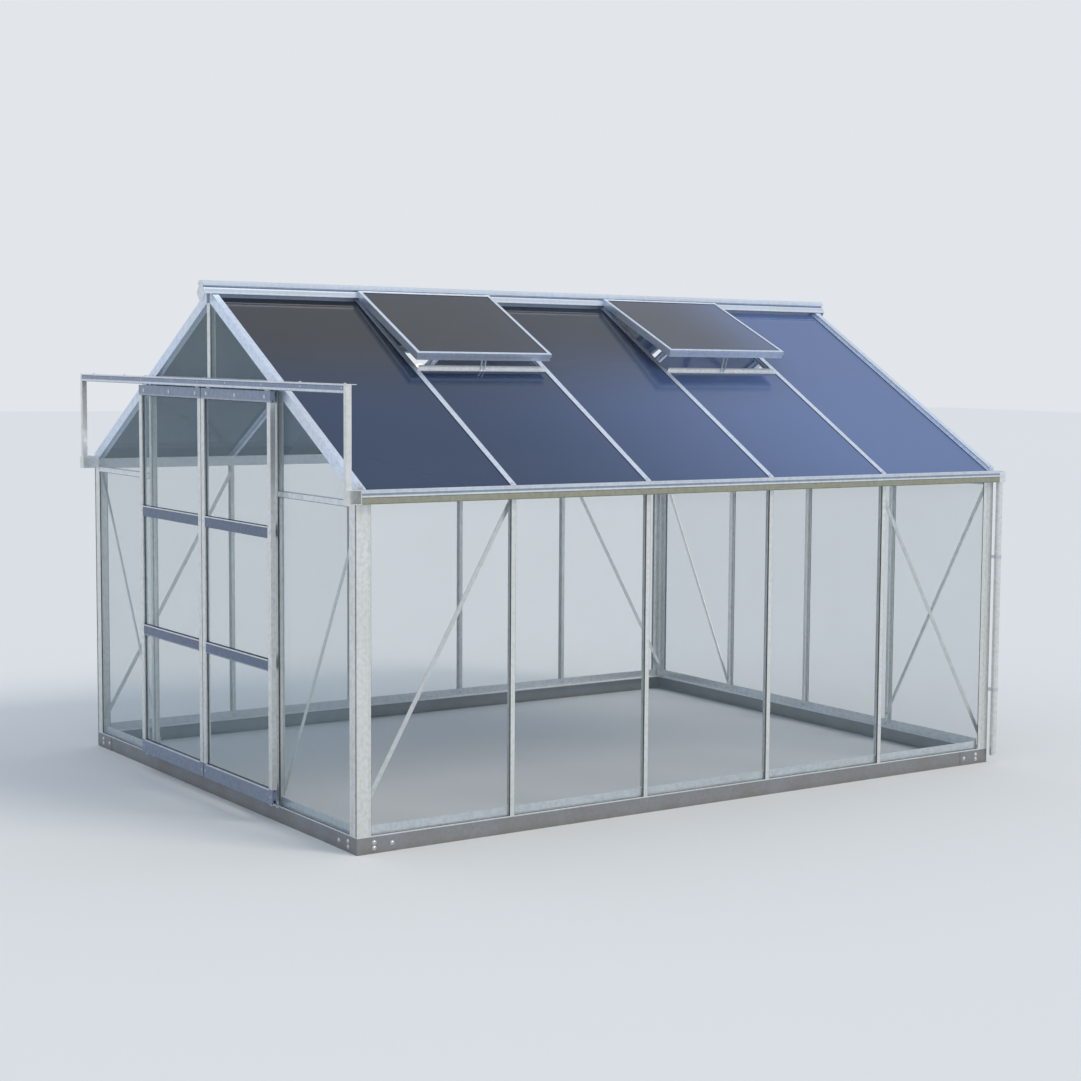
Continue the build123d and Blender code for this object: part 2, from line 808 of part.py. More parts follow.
# Floor guides: a fin on a bracket below each jamb runs in the groove of the leaf above it
leaf_middle = -leaf_offset - leaf_depth / 2


def floor_guide(place):
    shelf_top = leaf_bottom - guide_clearance
    fin = leaf_middle + guide_fin / 2
    section = fused([
        area(-guide_plate, 0, shelf_top - guide_plate - guide_plate_drop, shelf_top),
        area(fin - guide_fin, 0, shelf_top - guide_plate, shelf_top),
        area(fin - guide_fin, fin, shelf_top - guide_plate, leaf_bottom + guide_fin_rise),
    ])
    start = Plane((place - guide_length / 2, 0, 0), x_dir=(0, 1, 0), z_dir=(1, 0, 0))
    return extrude(start * section, guide_length)


add("door_guides", [door_gable * floor_guide(end_lines[0]), door_gable * floor_guide(end_lines[-1])])


# Door leaves: tubular stiles between a grooved top rail and bottom rail, two rails across
pane_slot = leaf_pane / 2 + play
guide_slot = guide_fin / 2 + guide_clearance


def leaf_stile_bar(side):
    """Stile with the outer edge at x = 0 and the pane groove towards x = side."""
    low = leaf_bottom + leaf_bottom_rail
    wall = leaf_stile_wall
    middle = leaf_depth / 2
    inner = leaf_stile - groove_reach
    section = area(0, leaf_stile, 0, leaf_depth) - area(wall, inner - wall, wall, leaf_depth - wall)
    section = section - area(inner, leaf_stile, middle - pane_slot, middle + pane_slot)
    bar = extrude(Pos(0, 0, low) * section, leaf_top - leaf_top_rail - low)
    return bar if side > 0 else mirror(bar, about=Plane.YZ)


def leaf_rail(low, high, start, end, has_slot_below, has_slot_above):
    middle = leaf_depth / 2
    section = area(0, leaf_depth, low, high)
    if has_slot_below:
        section = section - area(middle - pane_slot, middle + pane_slot, low, low + groove_reach)
    else:
        reach = guide_fin_rise + guide_clearance
        section = section - area(middle - guide_slot, middle + guide_slot, low, low + reach)
    if has_slot_above:
        section = section - area(middle - pane_slot, middle + pane_slot, high - groove_reach, high)
    return extrude(Plane((start, 0, 0), x_dir=(0, 1, 0), z_dir=(1, 0, 0)) * section, end - start)


def leaf_top_bar():
    middle = leaf_depth / 2
    low = leaf_top - leaf_top_rail
    section = area(0, leaf_depth, low, leaf_top)
    section = section - area(middle - pane_slot, middle + pane_slot, low, low + groove_reach)
    return extrude(Plane((0, 0, 0), x_dir=(0, 1, 0), z_dir=(1, 0, 0)) * section, leaf_width)


def hanger(place):
    """Angle on the top rail with an axle that points outwards, and the wheel on it."""
    axle_z = track_bottom + rail_lip_height + play + wheel_radius
    plate_face = leaf_depth + leaf_offset - hanger_offset
    low = place - hanger_width / 2
    high = place + hanger_width / 2
    outer = plate_face - hanger_wall
    plate = block(low, high, outer, plate_face, leaf_top, axle_z + hanger_rise)
    foot = block(low, high, outer, plate_face + hanger_foot, leaf_top, leaf_top + hanger_wall)
    rail_middle = leaf_depth + leaf_offset - track_reach + track_flange - rail_lip / 2
    wheel_width = wheel_tread + 2 * wheel_rim_width
    head_face = rail_middle - wheel_width / 2 - play
    outward = Plane((place, outer, axle_z), x_dir=(1, 0, 0), z_dir=(0, -1, 0))
    axle_length = outer - head_face + axle_head
    axle = extrude(outward * Circle(axle_radius), axle_length)
    head = extrude(outward.offset(axle_length - axle_head) * Circle(axle_head_radius), axle_head)
    inner = outward.offset(outer - rail_middle - wheel_width / 2)
    rim = extrude(inner * Circle(wheel_radius + wheel_rim), wheel_width)
    waist = extrude(inner.offset(wheel_rim_width) * Circle(wheel_radius + 2 * wheel_rim), wheel_tread)
    waist = waist - extrude(inner.offset(wheel_rim_width) * Circle(wheel_radius), wheel_tread)
    wheel = rim - waist - extrude(inner * Circle(axle_radius + play), wheel_width)
    return fused([plate, foot, axle, head]), wheel


def leaf_pieces():
    """Stiles, rails, panes and hangers of one leaf, with its outer face at y = 0."""
    stiles = [leaf_stile_bar(1), Pos(leaf_width, 0, 0) * leaf_stile_bar(-1)]
    bottom_top = leaf_bottom + leaf_bottom_rail
    rails = [leaf_rail(leaf_bottom, bottom_top, 0, leaf_width, False, True), leaf_top_bar()]
    lows = [bottom_top]
    highs = []
    for share in leaf_rail_shares:
        top = leaf_bottom + share * (leaf_top - leaf_bottom)
        low = top - leaf_mid_rail
        rails.append(leaf_rail(low, top, leaf_stile, leaf_width - leaf_stile, True, True))
        highs.append(low)
        lows.append(top)
    highs.append(leaf_top - leaf_top_rail)
    edge = leaf_stile - groove_reach + groove_margin
    rise = groove_reach - groove_margin
    middle = leaf_depth / 2
    half = leaf_pane / 2
    panes = [
        block(edge, leaf_width - edge, middle - half, middle + half, low - rise, high + rise)
        for low, high in zip(lows, highs)
    ]
    places = (hanger_inset, leaf_width - hanger_inset)
    hangers = [piece for place in places for piece in hanger(place)]
    return {"stiles": stiles, "rails": rails, "panes": panes, "hangers": hangers}


leaf_face = -leaf_offset - leaf_depth
leaf_starts = {"left": width / 2 - leaf_gap / 2 - leaf_width, "right": width / 2 + leaf_gap / 2}
for side, start in leaf_starts.items():
    for kind, pieces in leaf_pieces().items():
        add(f"door_{side}_{kind}", [door_gable * Pos(start, leaf_face, 0) * piece for piece in pieces])

# One file for each node
os.makedirs("parts", exist_ok=True)
for name, solids in nodes.items():
    export_step(Compound(solids) if len(solids) > 1 else solids[0], f"parts/{name}.step")
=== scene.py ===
import math

import bmesh
import bpy
from mathutils import Matrix, Vector


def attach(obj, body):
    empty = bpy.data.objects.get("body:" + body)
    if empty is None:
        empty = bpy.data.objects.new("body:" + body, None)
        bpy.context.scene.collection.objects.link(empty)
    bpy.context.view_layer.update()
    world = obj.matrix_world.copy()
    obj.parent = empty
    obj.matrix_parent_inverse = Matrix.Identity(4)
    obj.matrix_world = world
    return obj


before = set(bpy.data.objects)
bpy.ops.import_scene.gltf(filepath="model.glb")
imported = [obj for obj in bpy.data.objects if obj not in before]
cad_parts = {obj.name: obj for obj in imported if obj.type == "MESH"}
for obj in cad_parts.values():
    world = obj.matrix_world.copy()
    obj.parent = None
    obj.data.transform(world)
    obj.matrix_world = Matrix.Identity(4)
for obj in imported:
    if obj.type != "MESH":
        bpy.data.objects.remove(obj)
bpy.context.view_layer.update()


# View. A camera at eye height with a short telephoto lens, outside the corner between the door
# gable and the front long wall. The photograph is the left part of a wider one, hence the shift.
camera_place = Vector((-5.78325, -9.136, 2.102))
camera_yaw = math.radians(52.626)
camera_pitch = math.radians(-5.059)
camera_roll = math.radians(0.80)
focal_pixels = 2058.0
optical_axis_pixels = (720.5, 540.5)
photo_pixels = 1081
sensor_width = 36.0
view_reach = 200.0

forward = Vector((
    math.cos(camera_pitch) * math.cos(camera_yaw),
    math.cos(camera_pitch) * math.sin(camera_yaw),
    math.sin(camera_pitch),
))
level_right = Vector((math.sin(camera_yaw), -math.cos(camera_yaw), 0))
level_up = level_right.cross(forward)
right = level_right * math.cos(camera_roll) + level_up * math.sin(camera_roll)
up = right.cross(forward)
camera_data = bpy.data.cameras.new("view_camera")
camera_data.sensor_fit = "HORIZONTAL"
camera_data.sensor_width = sensor_width
camera_data.lens = focal_pixels / photo_pixels * sensor_width
camera_data.shift_x = (photo_pixels / 2 - optical_axis_pixels[0]) / photo_pixels
camera_data.shift_y = (optical_axis_pixels[1] - photo_pixels / 2) / photo_pixels
camera_data.clip_end = view_reach
camera = bpy.data.objects.new("view_camera", camera_data)
camera_turn = Matrix((right, up, -forward)).transposed().to_4x4()
camera.matrix_world = Matrix.Translation(camera_place) @ camera_turn
bpy.context.scene.collection.objects.link(camera)
bpy.context.scene.camera = camera


# Studio. A pale matt floor and an even pale sky light, with one wide soft sun from the side of
# the front long wall, so that the door gable stands in the shade as on an evening terrace.
floor_half = 60.0
sun_from = Vector((0.55, -1.0, 0.85))


def linear(hex_code):
    """Linear colour of an sRGB hex value."""
    shares = [int(hex_code[i:i + 2], 16) / 255 for i in (0, 2, 4)]
    return tuple(s / 12.92 if s <= 0.04045 else ((s + 0.055) / 1.055) ** 2.4 for s in shares) + (1.0,)


def add(tree, kind, sockets=None, **settings):
    """Adds a node with its settings; its sockets get values or links, and a list is linked whole."""
    node = tree.nodes.new(kind)
    for name, value in settings.items():
        setattr(node, name, value)
    for name, value in (sockets or {}).items():
        for source in value if isinstance(value, list) else [value]:
            if isinstance(source, bpy.types.NodeSocket):
                tree.links.new(source, node.inputs[name])
            else:
                node.inputs[name].default_value = source
    return node


def new_material(name):
    """Material with an empty node tree, and that tree."""
    material = bpy.data.materials.new(name)
    material.use_nodes = True
    material.node_tree.nodes.clear()
    return material, material.node_tree


floor_mesh = bpy.data.meshes.new("studio_floor")
corners = [(x * floor_half, y * floor_half, 0) for x, y in ((-1, -1), (1, -1), (1, 1), (-1, 1))]
floor_mesh.from_pydata(corners, [], [(0, 1, 2, 3)])
floor = bpy.data.objects.new("studio_floor", floor_mesh)
bpy.context.scene.collection.objects.link(floor)

# Matt paint: an even pale ground that takes the shadow and mirrors nothing
floor_paint, tree = new_material("matt_studio_floor")
clouds = add(tree, "ShaderNodeTexNoise", {"Scale": 0.9, "Detail": 4.0})
tone = add(tree, "ShaderNodeMix", {
    "Factor": clouds.outputs["Fac"], "A": linear("eaebec"), "B": linear("e6e7e9"),
}, data_type="RGBA")
shade = add(tree, "ShaderNodeBsdfPrincipled", {
    "Base Color": tone.outputs["Result"], "Roughness": 0.95, "Specular IOR Level": 0.0,
})
add(tree, "ShaderNodeOutputMaterial", {"Surface": shade.outputs["BSDF"]})
floor_mesh.materials.append(floor_paint)

sky = bpy.data.worlds.new("pale_sky")
sky.use_nodes = True
tree = sky.node_tree
tree.nodes.clear()
sky_paths = add(tree, "ShaderNodeLightPath")
seen_or_mirrored = add(tree, "ShaderNodeMath", {
    0: sky_paths.outputs["Is Camera Ray"], 1: sky_paths.outputs["Is Glossy Ray"],
}, operation="MAXIMUM")
shows_backdrop = add(tree, "ShaderNodeMath", {
    0: seen_or_mirrored.outputs["Value"], 1: sky_paths.outputs["Is Transmission Ray"],
}, operation="MAXIMUM")
sky_light = add(tree, "ShaderNodeBackground", {"Color": linear("dbe5f0"), "Strength": 0.88})
sky_backdrop = add(tree, "ShaderNodeBackground", {"Color": linear("e2e6eb"), "Strength": 1.0})
sky_mix = add(tree, "ShaderNodeMixShader", {
    0: shows_backdrop.outputs["Value"], 1: sky_light.outputs["Background"],
    2: sky_backdrop.outputs["Background"],
})
add(tree, "ShaderNodeOutputWorld", {"Surface": sky_mix.outputs["Shader"]})
bpy.context.scene.world = sky

sun_data = bpy.data.lights.new("soft_sun", "SUN")
sun_data.energy = 1.3
sun_data.angle = math.radians(22)
sun_data.color = linear("fff3e0")[:3]
sun = bpy.data.objects.new("soft_sun", sun_data)
sun.rotation_mode = "QUATERNION"
sun.rotation_quaternion = sun_from.to_track_quat("Z", "Y")
bpy.context.scene.collection.objects.link(sun)
bpy.context.scene.view_settings.view_transform = "Standard"


# Base. Rolled channels of galvanised steel along every side, with an angle plate bolted round
# each corner. They stand on the terrace, so they are dull and have soil splashed on the foot.
spangle_width = 14.0
stain_width = 166.7
dent_depth = 0.4
splash_height = 30.0


def cover(material, *names):
    """Gives nodes of the frame a material in place of their own."""
    for name in names:
        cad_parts[name].data.materials[0] = material


# Hot-dip zinc that has weathered: pale spangle under a grey stain, dull, and browned at the foot
galvanised, tree = new_material("weathered_galvanised_steel")
place = add(tree, "ShaderNodeTexCoord")
spangle = add(tree, "ShaderNodeTexVoronoi", {
    "Vector": place.outputs["Object"], "Scale": 1000 / spangle_width, "Randomness": 1.0,
})
spangle_tone = add(tree, "ShaderNodeMix", {
    "Factor": spangle.outputs["Color"], "A": linear("8b919c"), "B": linear("9ba1ab"),
}, data_type="RGBA")
stain = add(tree, "ShaderNodeTexNoise", {
    "Vector": place.outputs["Object"], "Scale": 1000 / stain_width, "Detail": 6.0,
})
stained = add(tree, "ShaderNodeMix", {
    "Factor": stain.outputs["Fac"], "A": spangle_tone.outputs["Result"], "B": linear("84817b"),
}, data_type="RGBA")
height = add(tree, "ShaderNodeSeparateXYZ", {"Vector": place.outputs["Object"]})
low = add(tree, "ShaderNodeMapRange", {
    "Value": height.outputs["Z"], "From Min": 0.0, "From Max": splash_height / 1000, "To Min": 0.8,
    "To Max": 0.0,
})
soil = add(tree, "ShaderNodeMath", {
    0: low.outputs["Result"], 1: stain.outputs["Fac"],
}, operation="MULTIPLY")
soiled = add(tree, "ShaderNodeMix", {
    "Factor": soil.outputs["Value"], "A": stained.outputs["Result"], "B": linear("6e675c"),
}, data_type="RGBA")
dull = add(tree, "ShaderNodeMapRange", {"Value": stain.outputs["Fac"], "To Min": 0.42, "To Max": 0.62})
metal = add(tree, "ShaderNodeMapRange", {"Value": soil.outputs["Value"], "To Min": 0.6, "To Max": 0.2})
dents = add(tree, "ShaderNodeBump", {
    "Strength": 0.25, "Distance": dent_depth / 1000, "Height": stain.outputs["Fac"],
})
shade = add(tree, "ShaderNodeBsdfPrincipled", {
    "Base Color": soiled.outputs["Result"], "Metallic": metal.outputs["Result"],
    "Roughness": dull.outputs["Result"], "Normal": dents.outputs["Normal"],
})
add(tree, "ShaderNodeOutputMaterial", {"Surface": shade.outputs["BSDF"]})
cover(galvanised, "base_side_rails", "base_end_rails", "base_corner_plates")


# Base bolts. Zinc-plated cup-head bolts, 18 mm across the head, on a washer, two above each other
# through each leg of the corner plates and one more near its end.
house_length = 3680.0
house_width = 2960.0
wall_lengths = {"front": house_length, "back": house_length, "door": house_width, "rear": house_width}
base_bolt_places = ((80, 24), (80, 48), (165, 36))
plating_grain = 6.25
# The frame's origin is halfway from the face of the door track to the gutter outlets
frame_middle = 1831.0

# Electroplated zinc: a bright metal, whose fine grain is drawn coarser as a cloud so that it shows
zinc, tree = new_material("zinc_plated_steel")
place = add(tree, "ShaderNodeTexCoord")
plate = add(tree, "ShaderNodeTexNoise", {
    "Vector": place.outputs["Object"], "Scale": 1000 / plating_grain, "Detail": 3.0,
})
tone = add(tree, "ShaderNodeMix", {
    "Factor": plate.outputs["Fac"], "A": linear("b9bdc1"), "B": linear("dcdfe2"),
}, data_type="RGBA")
dull = add(tree, "ShaderNodeMapRange", {"Value": plate.outputs["Fac"], "To Min": 0.22, "To Max": 0.38})
shade = add(tree, "ShaderNodeBsdfPrincipled", {
    "Base Color": tone.outputs["Result"], "Metallic": 1.0, "Roughness": dull.outputs["Result"],
})
add(tree, "ShaderNodeOutputMaterial", {"Surface": shade.outputs["BSDF"]})


def open_growth(name, *labels):
    """Geometry tree with a named input for each size and for the finish, and its inputs."""
    tree = bpy.data.node_groups.new(name, "GeometryNodeTree")
    tree.interface.new_socket("Geometry", in_out="INPUT", socket_type="NodeSocketGeometry")
    for label in labels:
        tree.interface.new_socket(label, in_out="INPUT", socket_type="NodeSocketFloat")
    tree.interface.new_socket("Finish", in_out="INPUT", socket_type="NodeSocketMaterial")
    tree.interface.new_socket("Geometry", in_out="OUTPUT", socket_type="NodeSocketGeometry")
    return tree, add(tree, "NodeGroupInput").outputs


def on_spots(tree, spots, fastener):
    """Copies of a fastener on loose points, each turned to the way that its point faces."""
    facing = add(tree, "GeometryNodeInputNamedAttribute", {"Name": "facing"}, data_type="FLOAT_VECTOR")
    turn = add(tree, "FunctionNodeAlignRotationToVector", {
        "Vector": facing.outputs["Attribute"],
    }, axis="Z")
    copies = add(tree, "GeometryNodeInstanceOnPoints", {
        "Points": spots, "Instance": fastener, "Rotation": turn.outputs["Rotation"],
    })
    return copies.outputs["Instances"]


def close_growth(tree, parts, finish):
    """Ends a tree: makes the copies real faces, gives them the finish and hands them out."""
    solid = add(tree, "GeometryNodeRealizeInstances", {"Geometry": parts})
    finished = add(tree, "GeometryNodeSetMaterial", {
        "Geometry": solid.outputs["Geometry"], "Material": finish,
    })
    add(tree, "NodeGroupOutput", {"Geometry": finished.outputs["Geometry"]})


# The head is a flattened ball, and half of it and of the washer is sunk in what they are fixed to
bolt_tree, given = open_growth(
    "cup_head_bolts", "Head Radius", "Head Height", "Washer Radius", "Washer Thickness")
flatness = add(bolt_tree, "ShaderNodeMath", {
    0: given["Head Height"], 1: given["Head Radius"],
}, operation="DIVIDE")
flattened = add(bolt_tree, "ShaderNodeCombineXYZ", {"X": 1.0, "Y": 1.0, "Z": flatness.outputs["Value"]})
ball = add(bolt_tree, "GeometryNodeMeshUVSphere", {
    "Segments": 16, "Rings": 10, "Radius": given["Head Radius"],
})
head_lift = add(bolt_tree, "ShaderNodeCombineXYZ", {"Z": given["Washer Thickness"]})
head = add(bolt_tree, "GeometryNodeTransform", {
    "Geometry": ball.outputs["Mesh"], "Scale": flattened.outputs["Vector"],
    "Translation": head_lift.outputs["Vector"],
})
washer_height = add(bolt_tree, "ShaderNodeMath", {
    0: given["Washer Thickness"], 1: 2.0,
}, operation="MULTIPLY")
washer = add(bolt_tree, "GeometryNodeMeshCylinder", {
    "Vertices": 20, "Radius": given["Washer Radius"], "Depth": washer_height.outputs["Value"],
})
fastener = add(bolt_tree, "GeometryNodeJoinGeometry", {
    "Geometry": [head.outputs["Geometry"], washer.outputs["Mesh"]],
})
copies = on_spots(bolt_tree, given["Geometry"], fastener.outputs["Geometry"])
close_growth(bolt_tree, copies, given["Finish"])


def placed(x, y, z):
    """Point of the frame in metres, from millimetres along the front wall, inwards and up."""
    return (x - frame_middle) / 1000, (y - house_width / 2) / 1000, z / 1000


def on_wall(wall, along, inwards, z, way=-1):
    """Point on a wall, seen from outside, and the direction out of the house there, or into it."""
    if wall == "front":
        return placed(along, inwards, z), (0, way, 0)
    if wall == "back":
        return placed(house_length - along, house_width - inwards, z), (0, -way, 0)
    if wall == "door":
        return placed(inwards, house_width - along, z), (way, 0, 0)
    return placed(house_length - inwards, along, z), (-way, 0, 0)


def grown(name, carrier_mesh, growth, body, slot, finish, **sizes):
    """Runs a geometry tree on a mesh, with sizes in millimetres, and keeps the result on a body."""
    carrier = bpy.data.objects.new(name + "_carrier", carrier_mesh)
    bpy.context.scene.collection.objects.link(carrier)
    modifier = carrier.modifiers.new("growth", "NODES")
    modifier.node_group = growth
    for socket in growth.interface.items_tree:
        label = socket.name.lower().replace(" ", "_")
        if label in sizes:
            modifier[socket.identifier] = sizes[label] / 1000
        elif label == "finish":
            modifier[socket.identifier] = finish
    evaluated = carrier.evaluated_get(bpy.context.evaluated_depsgraph_get())
    mesh = bpy.data.meshes.new_from_object(evaluated)
    carrier.modifiers.remove(modifier)
    bpy.data.objects.remove(carrier)
    work = bmesh.new()
    work.from_mesh(mesh)
    bmesh.ops.recalc_face_normals(work, faces=work.faces)
    work.to_mesh(mesh)
    work.free()
    mesh.name = name
    piece = bpy.data.objects.new(name, mesh)
    bpy.context.scene.collection.objects.link(piece)
    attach(piece, body)


def spots_mesh(spots):
    """Mesh of loose points, each with the direction that it faces."""
    mesh = bpy.data.meshes.new("spots")
    mesh.from_pydata([point for point, way in spots], [], [])
    facing = mesh.attributes.new("facing", "FLOAT_VECTOR", "POINT")
    for item, (point, way) in zip(facing.data, spots):
        item.vector = way
    return mesh


base_spots = []
for wall, total in wall_lengths.items():
    for from_corner, z in base_bolt_places:
        base_spots.append(on_wall(wall, from_corner, 0, z))
        base_spots.append(on_wall(wall, total - from_corner, 0, z))
grown("base_bolts", spots_mesh(base_spots), bolt_tree, "house", "base_steel", zinc, head_radius=9.0,
      head_height=4.0, washer_radius=11.0, washer_thickness=1.2)


# Bars. Extruded aluminium left in mill finish: fine die lines run along each bar, and the rain
# has given it a thin grey film, which breaks its soft shine. Some parts carry bands of painted shade
# in their recesses and under their lips, and the slope bars carry a painted blue sky reflection.
# The lines are drawn 4 mm wide, because real ones are too fine to show from here.
die_line_width = 4.0
die_line_length = 500.0
die_line_depth = 0.1
film_patch = 20.0
cloud_width = 384.6


def mill_aluminium(name, turn, bare, film, folded=False, painted_light_bands=()):
    """Mill aluminium whose die lines run along X after the turn; folded serves both roof slopes.

    Painted light bands are pairs of a height in millimetres and a tone multiplied in from there upwards:
    painted shade in recesses and under lips, and painted reflections.
    """
    material, tree = new_material(name)
    place = add(tree, "ShaderNodeTexCoord").outputs["Object"]
    parts = add(tree, "ShaderNodeSeparateXYZ", {"Vector": place})
    along = place
    if folded:
        side = add(tree, "ShaderNodeMath", {0: parts.outputs["Y"]}, operation="ABSOLUTE")
        along = add(tree, "ShaderNodeCombineXYZ", {
            "X": parts.outputs["X"], "Y": side.outputs["Value"], "Z": parts.outputs["Z"],
        }).outputs["Vector"]
    turned = add(tree, "ShaderNodeMapping", {"Vector": along, "Rotation": turn})
    drawn = add(tree, "ShaderNodeVectorMath", {
        0: turned.outputs["Vector"],
        1: (1000 / die_line_length, 1000 / die_line_width, 1000 / die_line_width),
    }, operation="MULTIPLY")
    lines = add(tree, "ShaderNodeTexNoise", {
        "Vector": drawn.outputs["Vector"], "Scale": 1.0, "Detail": 2.0,
    })
    specks = add(tree, "ShaderNodeTexNoise", {"Vector": place, "Scale": 1000 / film_patch, "Detail": 3.0})
    cloud = add(tree, "ShaderNodeTexNoise", {"Vector": place, "Scale": 1000 / cloud_width, "Detail": 3.0})
    speck_edge = add(tree, "ShaderNodeMapRange", {
        "Value": specks.outputs["Fac"], "From Min": 0.40, "From Max": 0.66, "To Min": 0.0, "To Max": 0.6,
    })
    tone = add(tree, "ShaderNodeMix", {
        "Factor": lines.outputs["Fac"], "A": linear(bare), "B": linear("eef1f5"),
    }, data_type="RGBA")
    tone = add(tree, "ShaderNodeMix", {
        "Factor": speck_edge.outputs["Result"], "A": tone.outputs["Result"], "B": linear(film),
    }, data_type="RGBA")
    cloud_share = add(tree, "ShaderNodeMapRange", {
        "Value": cloud.outputs["Fac"], "From Min": 0.35, "From Max": 0.75, "To Min": 0.0, "To Max": 0.3,
    })
    tone = add(tree, "ShaderNodeMix", {
        "Factor": cloud_share.outputs["Result"], "A": tone.outputs["Result"], "B": linear("cfcdc4"),
    }, data_type="RGBA")
    # Painted light: darker bands of painted shade and painted reflection, set by height
    if painted_light_bands:
        low, high = painted_light_bands[0][0] / 1000, painted_light_bands[-1][0] / 1000
        up = add(tree, "ShaderNodeMapRange", {
            "Value": parts.outputs["Z"], "From Min": low, "From Max": high,
        })
        bands = add(tree, "ShaderNodeValToRGB", {"Fac": up.outputs["Result"]})
        bands.color_ramp.interpolation = "CONSTANT"
        for height, hex_code in painted_light_bands[1:-1]:
            bands.color_ramp.elements.new((height / 1000 - low) / (high - low)).color = linear(hex_code)
        bands.color_ramp.elements[0].color = linear(painted_light_bands[0][1])
        bands.color_ramp.elements[-1].color = linear(painted_light_bands[-1][1])
        tone = add(tree, "ShaderNodeMix", {
            "Factor": 1.0, "A": tone.outputs["Result"], "B": bands.outputs["Color"],
        }, data_type="RGBA", blend_type="MULTIPLY")
    dull = add(tree, "ShaderNodeMapRange", {
        "Value": speck_edge.outputs["Result"], "To Min": 0.28, "To Max": 0.42,
    })
    relief = add(tree, "ShaderNodeBump", {
        "Strength": 0.2, "Distance": die_line_depth / 1000, "Height": lines.outputs["Fac"],
    })
    shade = add(tree, "ShaderNodeBsdfPrincipled", {
        "Base Color": tone.outputs["Result"], "Metallic": 0.72,
        "Roughness": dull.outputs["Result"], "Normal": relief.outputs["Normal"],
    })
    add(tree, "ShaderNodeOutputMaterial", {"Surface": shade.outputs["BSDF"]})
    return material


# Painted shade in the gutter's recesses and under its rib, and a tan painted reflection of the ground on
# its lower face
gutter_painted_light_bands = (
    (1480, "8f9279"), (1484, "b5b29c"), (1507, "8c8f8c"), (1510, "ffffff"), (1517.5, "a3afc0"),
    (1527, "f2f6fc"), (1543, "ffffff"),
)
# Painted shade on the ridge's web under its lip and in the notch of its crown
ridge_painted_light_bands = (
    (2324, "8d97a6"), (2369.5, "ffffff"), (2377, "dde4ee"), (2397, "8f9bb0"), (2404, "eef3fa"),
    (2432, "ffffff"),
)
# Painted shade in the recess of the track's face, under its top lip and along its foot
track_painted_light_bands = (
    (1936, "8893a8"), (1939, "f4f6f9"), (1949, "98a4bc"), (1966, "76829b"), (1969, "ffffff"),
    (1976, "ffffff"),
)
# Painted shade and painted sky reflection on the door rails: the cross rails dark blue-grey, the bottom
# and top rails less so, with a paler top edge
rail_painted_light_bands = (
    (87, "a3adbf"), (687, "727f97"), (1880, "b4bccb"), (1884, "98a3b5"), (1927, "e6eaf0"),
    (1932, "e6eaf0"),
)
turn_level = (0, 0, 0)
turn_across = (0, 0, math.radians(90))
turn_upright = (0, math.radians(90), 0)
aluminium_level = mill_aluminium("mill_aluminium_along_ridge", turn_level, "d9dfe6", "c6cdd6")
aluminium_ridge = mill_aluminium(
    "mill_aluminium_ridge", turn_level, "dfe8f4", "cdd9ea", painted_light_bands=ridge_painted_light_bands)
aluminium_gutter = mill_aluminium(
    "mill_aluminium_gutter", turn_level, "d9dfe6", "c6cdd6", painted_light_bands=gutter_painted_light_bands)
aluminium_across = mill_aluminium("mill_aluminium_across", turn_across, "d2d9e2", "bdc7d4")
aluminium_track = mill_aluminium(
    "mill_aluminium_track", turn_across, "dbe1ea", "c6cfdc", painted_light_bands=track_painted_light_bands)
aluminium_rail = mill_aluminium(
    "mill_aluminium_door_rail", turn_across, "dbe1ea", "c6cfdc", painted_light_bands=rail_painted_light_bands)
aluminium_upright = mill_aluminium("mill_aluminium_upright", turn_upright, "d8dad7", "c9ccc8")
# The slope bars, the rafters and the vents take a painted blue reflection of the sky in their tone
aluminium_slope_sky_reflection = mill_aluminium("mill_aluminium_slope", turn_across, "cbdffb", "bbd0ee", folded=True)
cover(aluminium_level, "side_sills", "eave_rails", "gutter_outlets", "vent_sills")
cover(aluminium_ridge, "ridge_beam")
cover(aluminium_gutter, "eave_gutters")
cover(aluminium_across, "end_sills", "gable_transoms", "door_header", "ridge_end_plates")
cover(aluminium_track, "door_track")
cover(aluminium_rail, "door_left_rails", "door_right_rails")
cover(aluminium_upright, "corner_posts", "front_uprights", "back_uprights", "rear_uprights",
      "door_jambs", "gable_mullion", "downpipes", "wall_braces", "track_end_posts", "door_guides",
      "door_left_stiles", "door_right_stiles")
cover(aluminium_slope_sky_reflection, "front_roof_bars", "back_roof_bars", "door_gable_rafters",
      "rear_gable_rafters", "vent_frames", "vent_stays")


# Wall and door panes. Flat sheets of clear polycarbonate, 4 mm thick, pushed into the bars. They
# are see-through with a cool tint, and mirror more the flatter one looks along them.
smear_width = 285.7

# Extruded polycarbonate: smooth and glossy, with faint smears that take the edge off the shine
clear_sheet, tree = new_material("clear_polycarbonate_sheet")
place = add(tree, "ShaderNodeTexCoord")
smears = add(tree, "ShaderNodeTexNoise", {
    "Vector": place.outputs["Object"], "Scale": 1000 / smear_width, "Detail": 3.0,
})
slant = add(tree, "ShaderNodeLayerWeight", {"Blend": 0.2})
film = add(tree, "ShaderNodeMapRange", {"Value": slant.outputs["Facing"], "To Min": 0.035, "To Max": 0.5})
haze = add(tree, "ShaderNodeMapRange", {"Value": smears.outputs["Fac"], "To Min": -0.01, "To Max": 0.02})
seen_share = add(tree, "ShaderNodeMath", {
    0: film.outputs["Result"], 1: haze.outputs["Result"],
}, operation="ADD")
gloss = add(tree, "ShaderNodeMapRange", {"Value": smears.outputs["Fac"], "To Min": 0.01, "To Max": 0.05})
tint = add(tree, "ShaderNodeMix", {
    "Factor": smears.outputs["Fac"], "A": linear("8fa9b8"), "B": linear("9db3b6"),
}, data_type="RGBA")
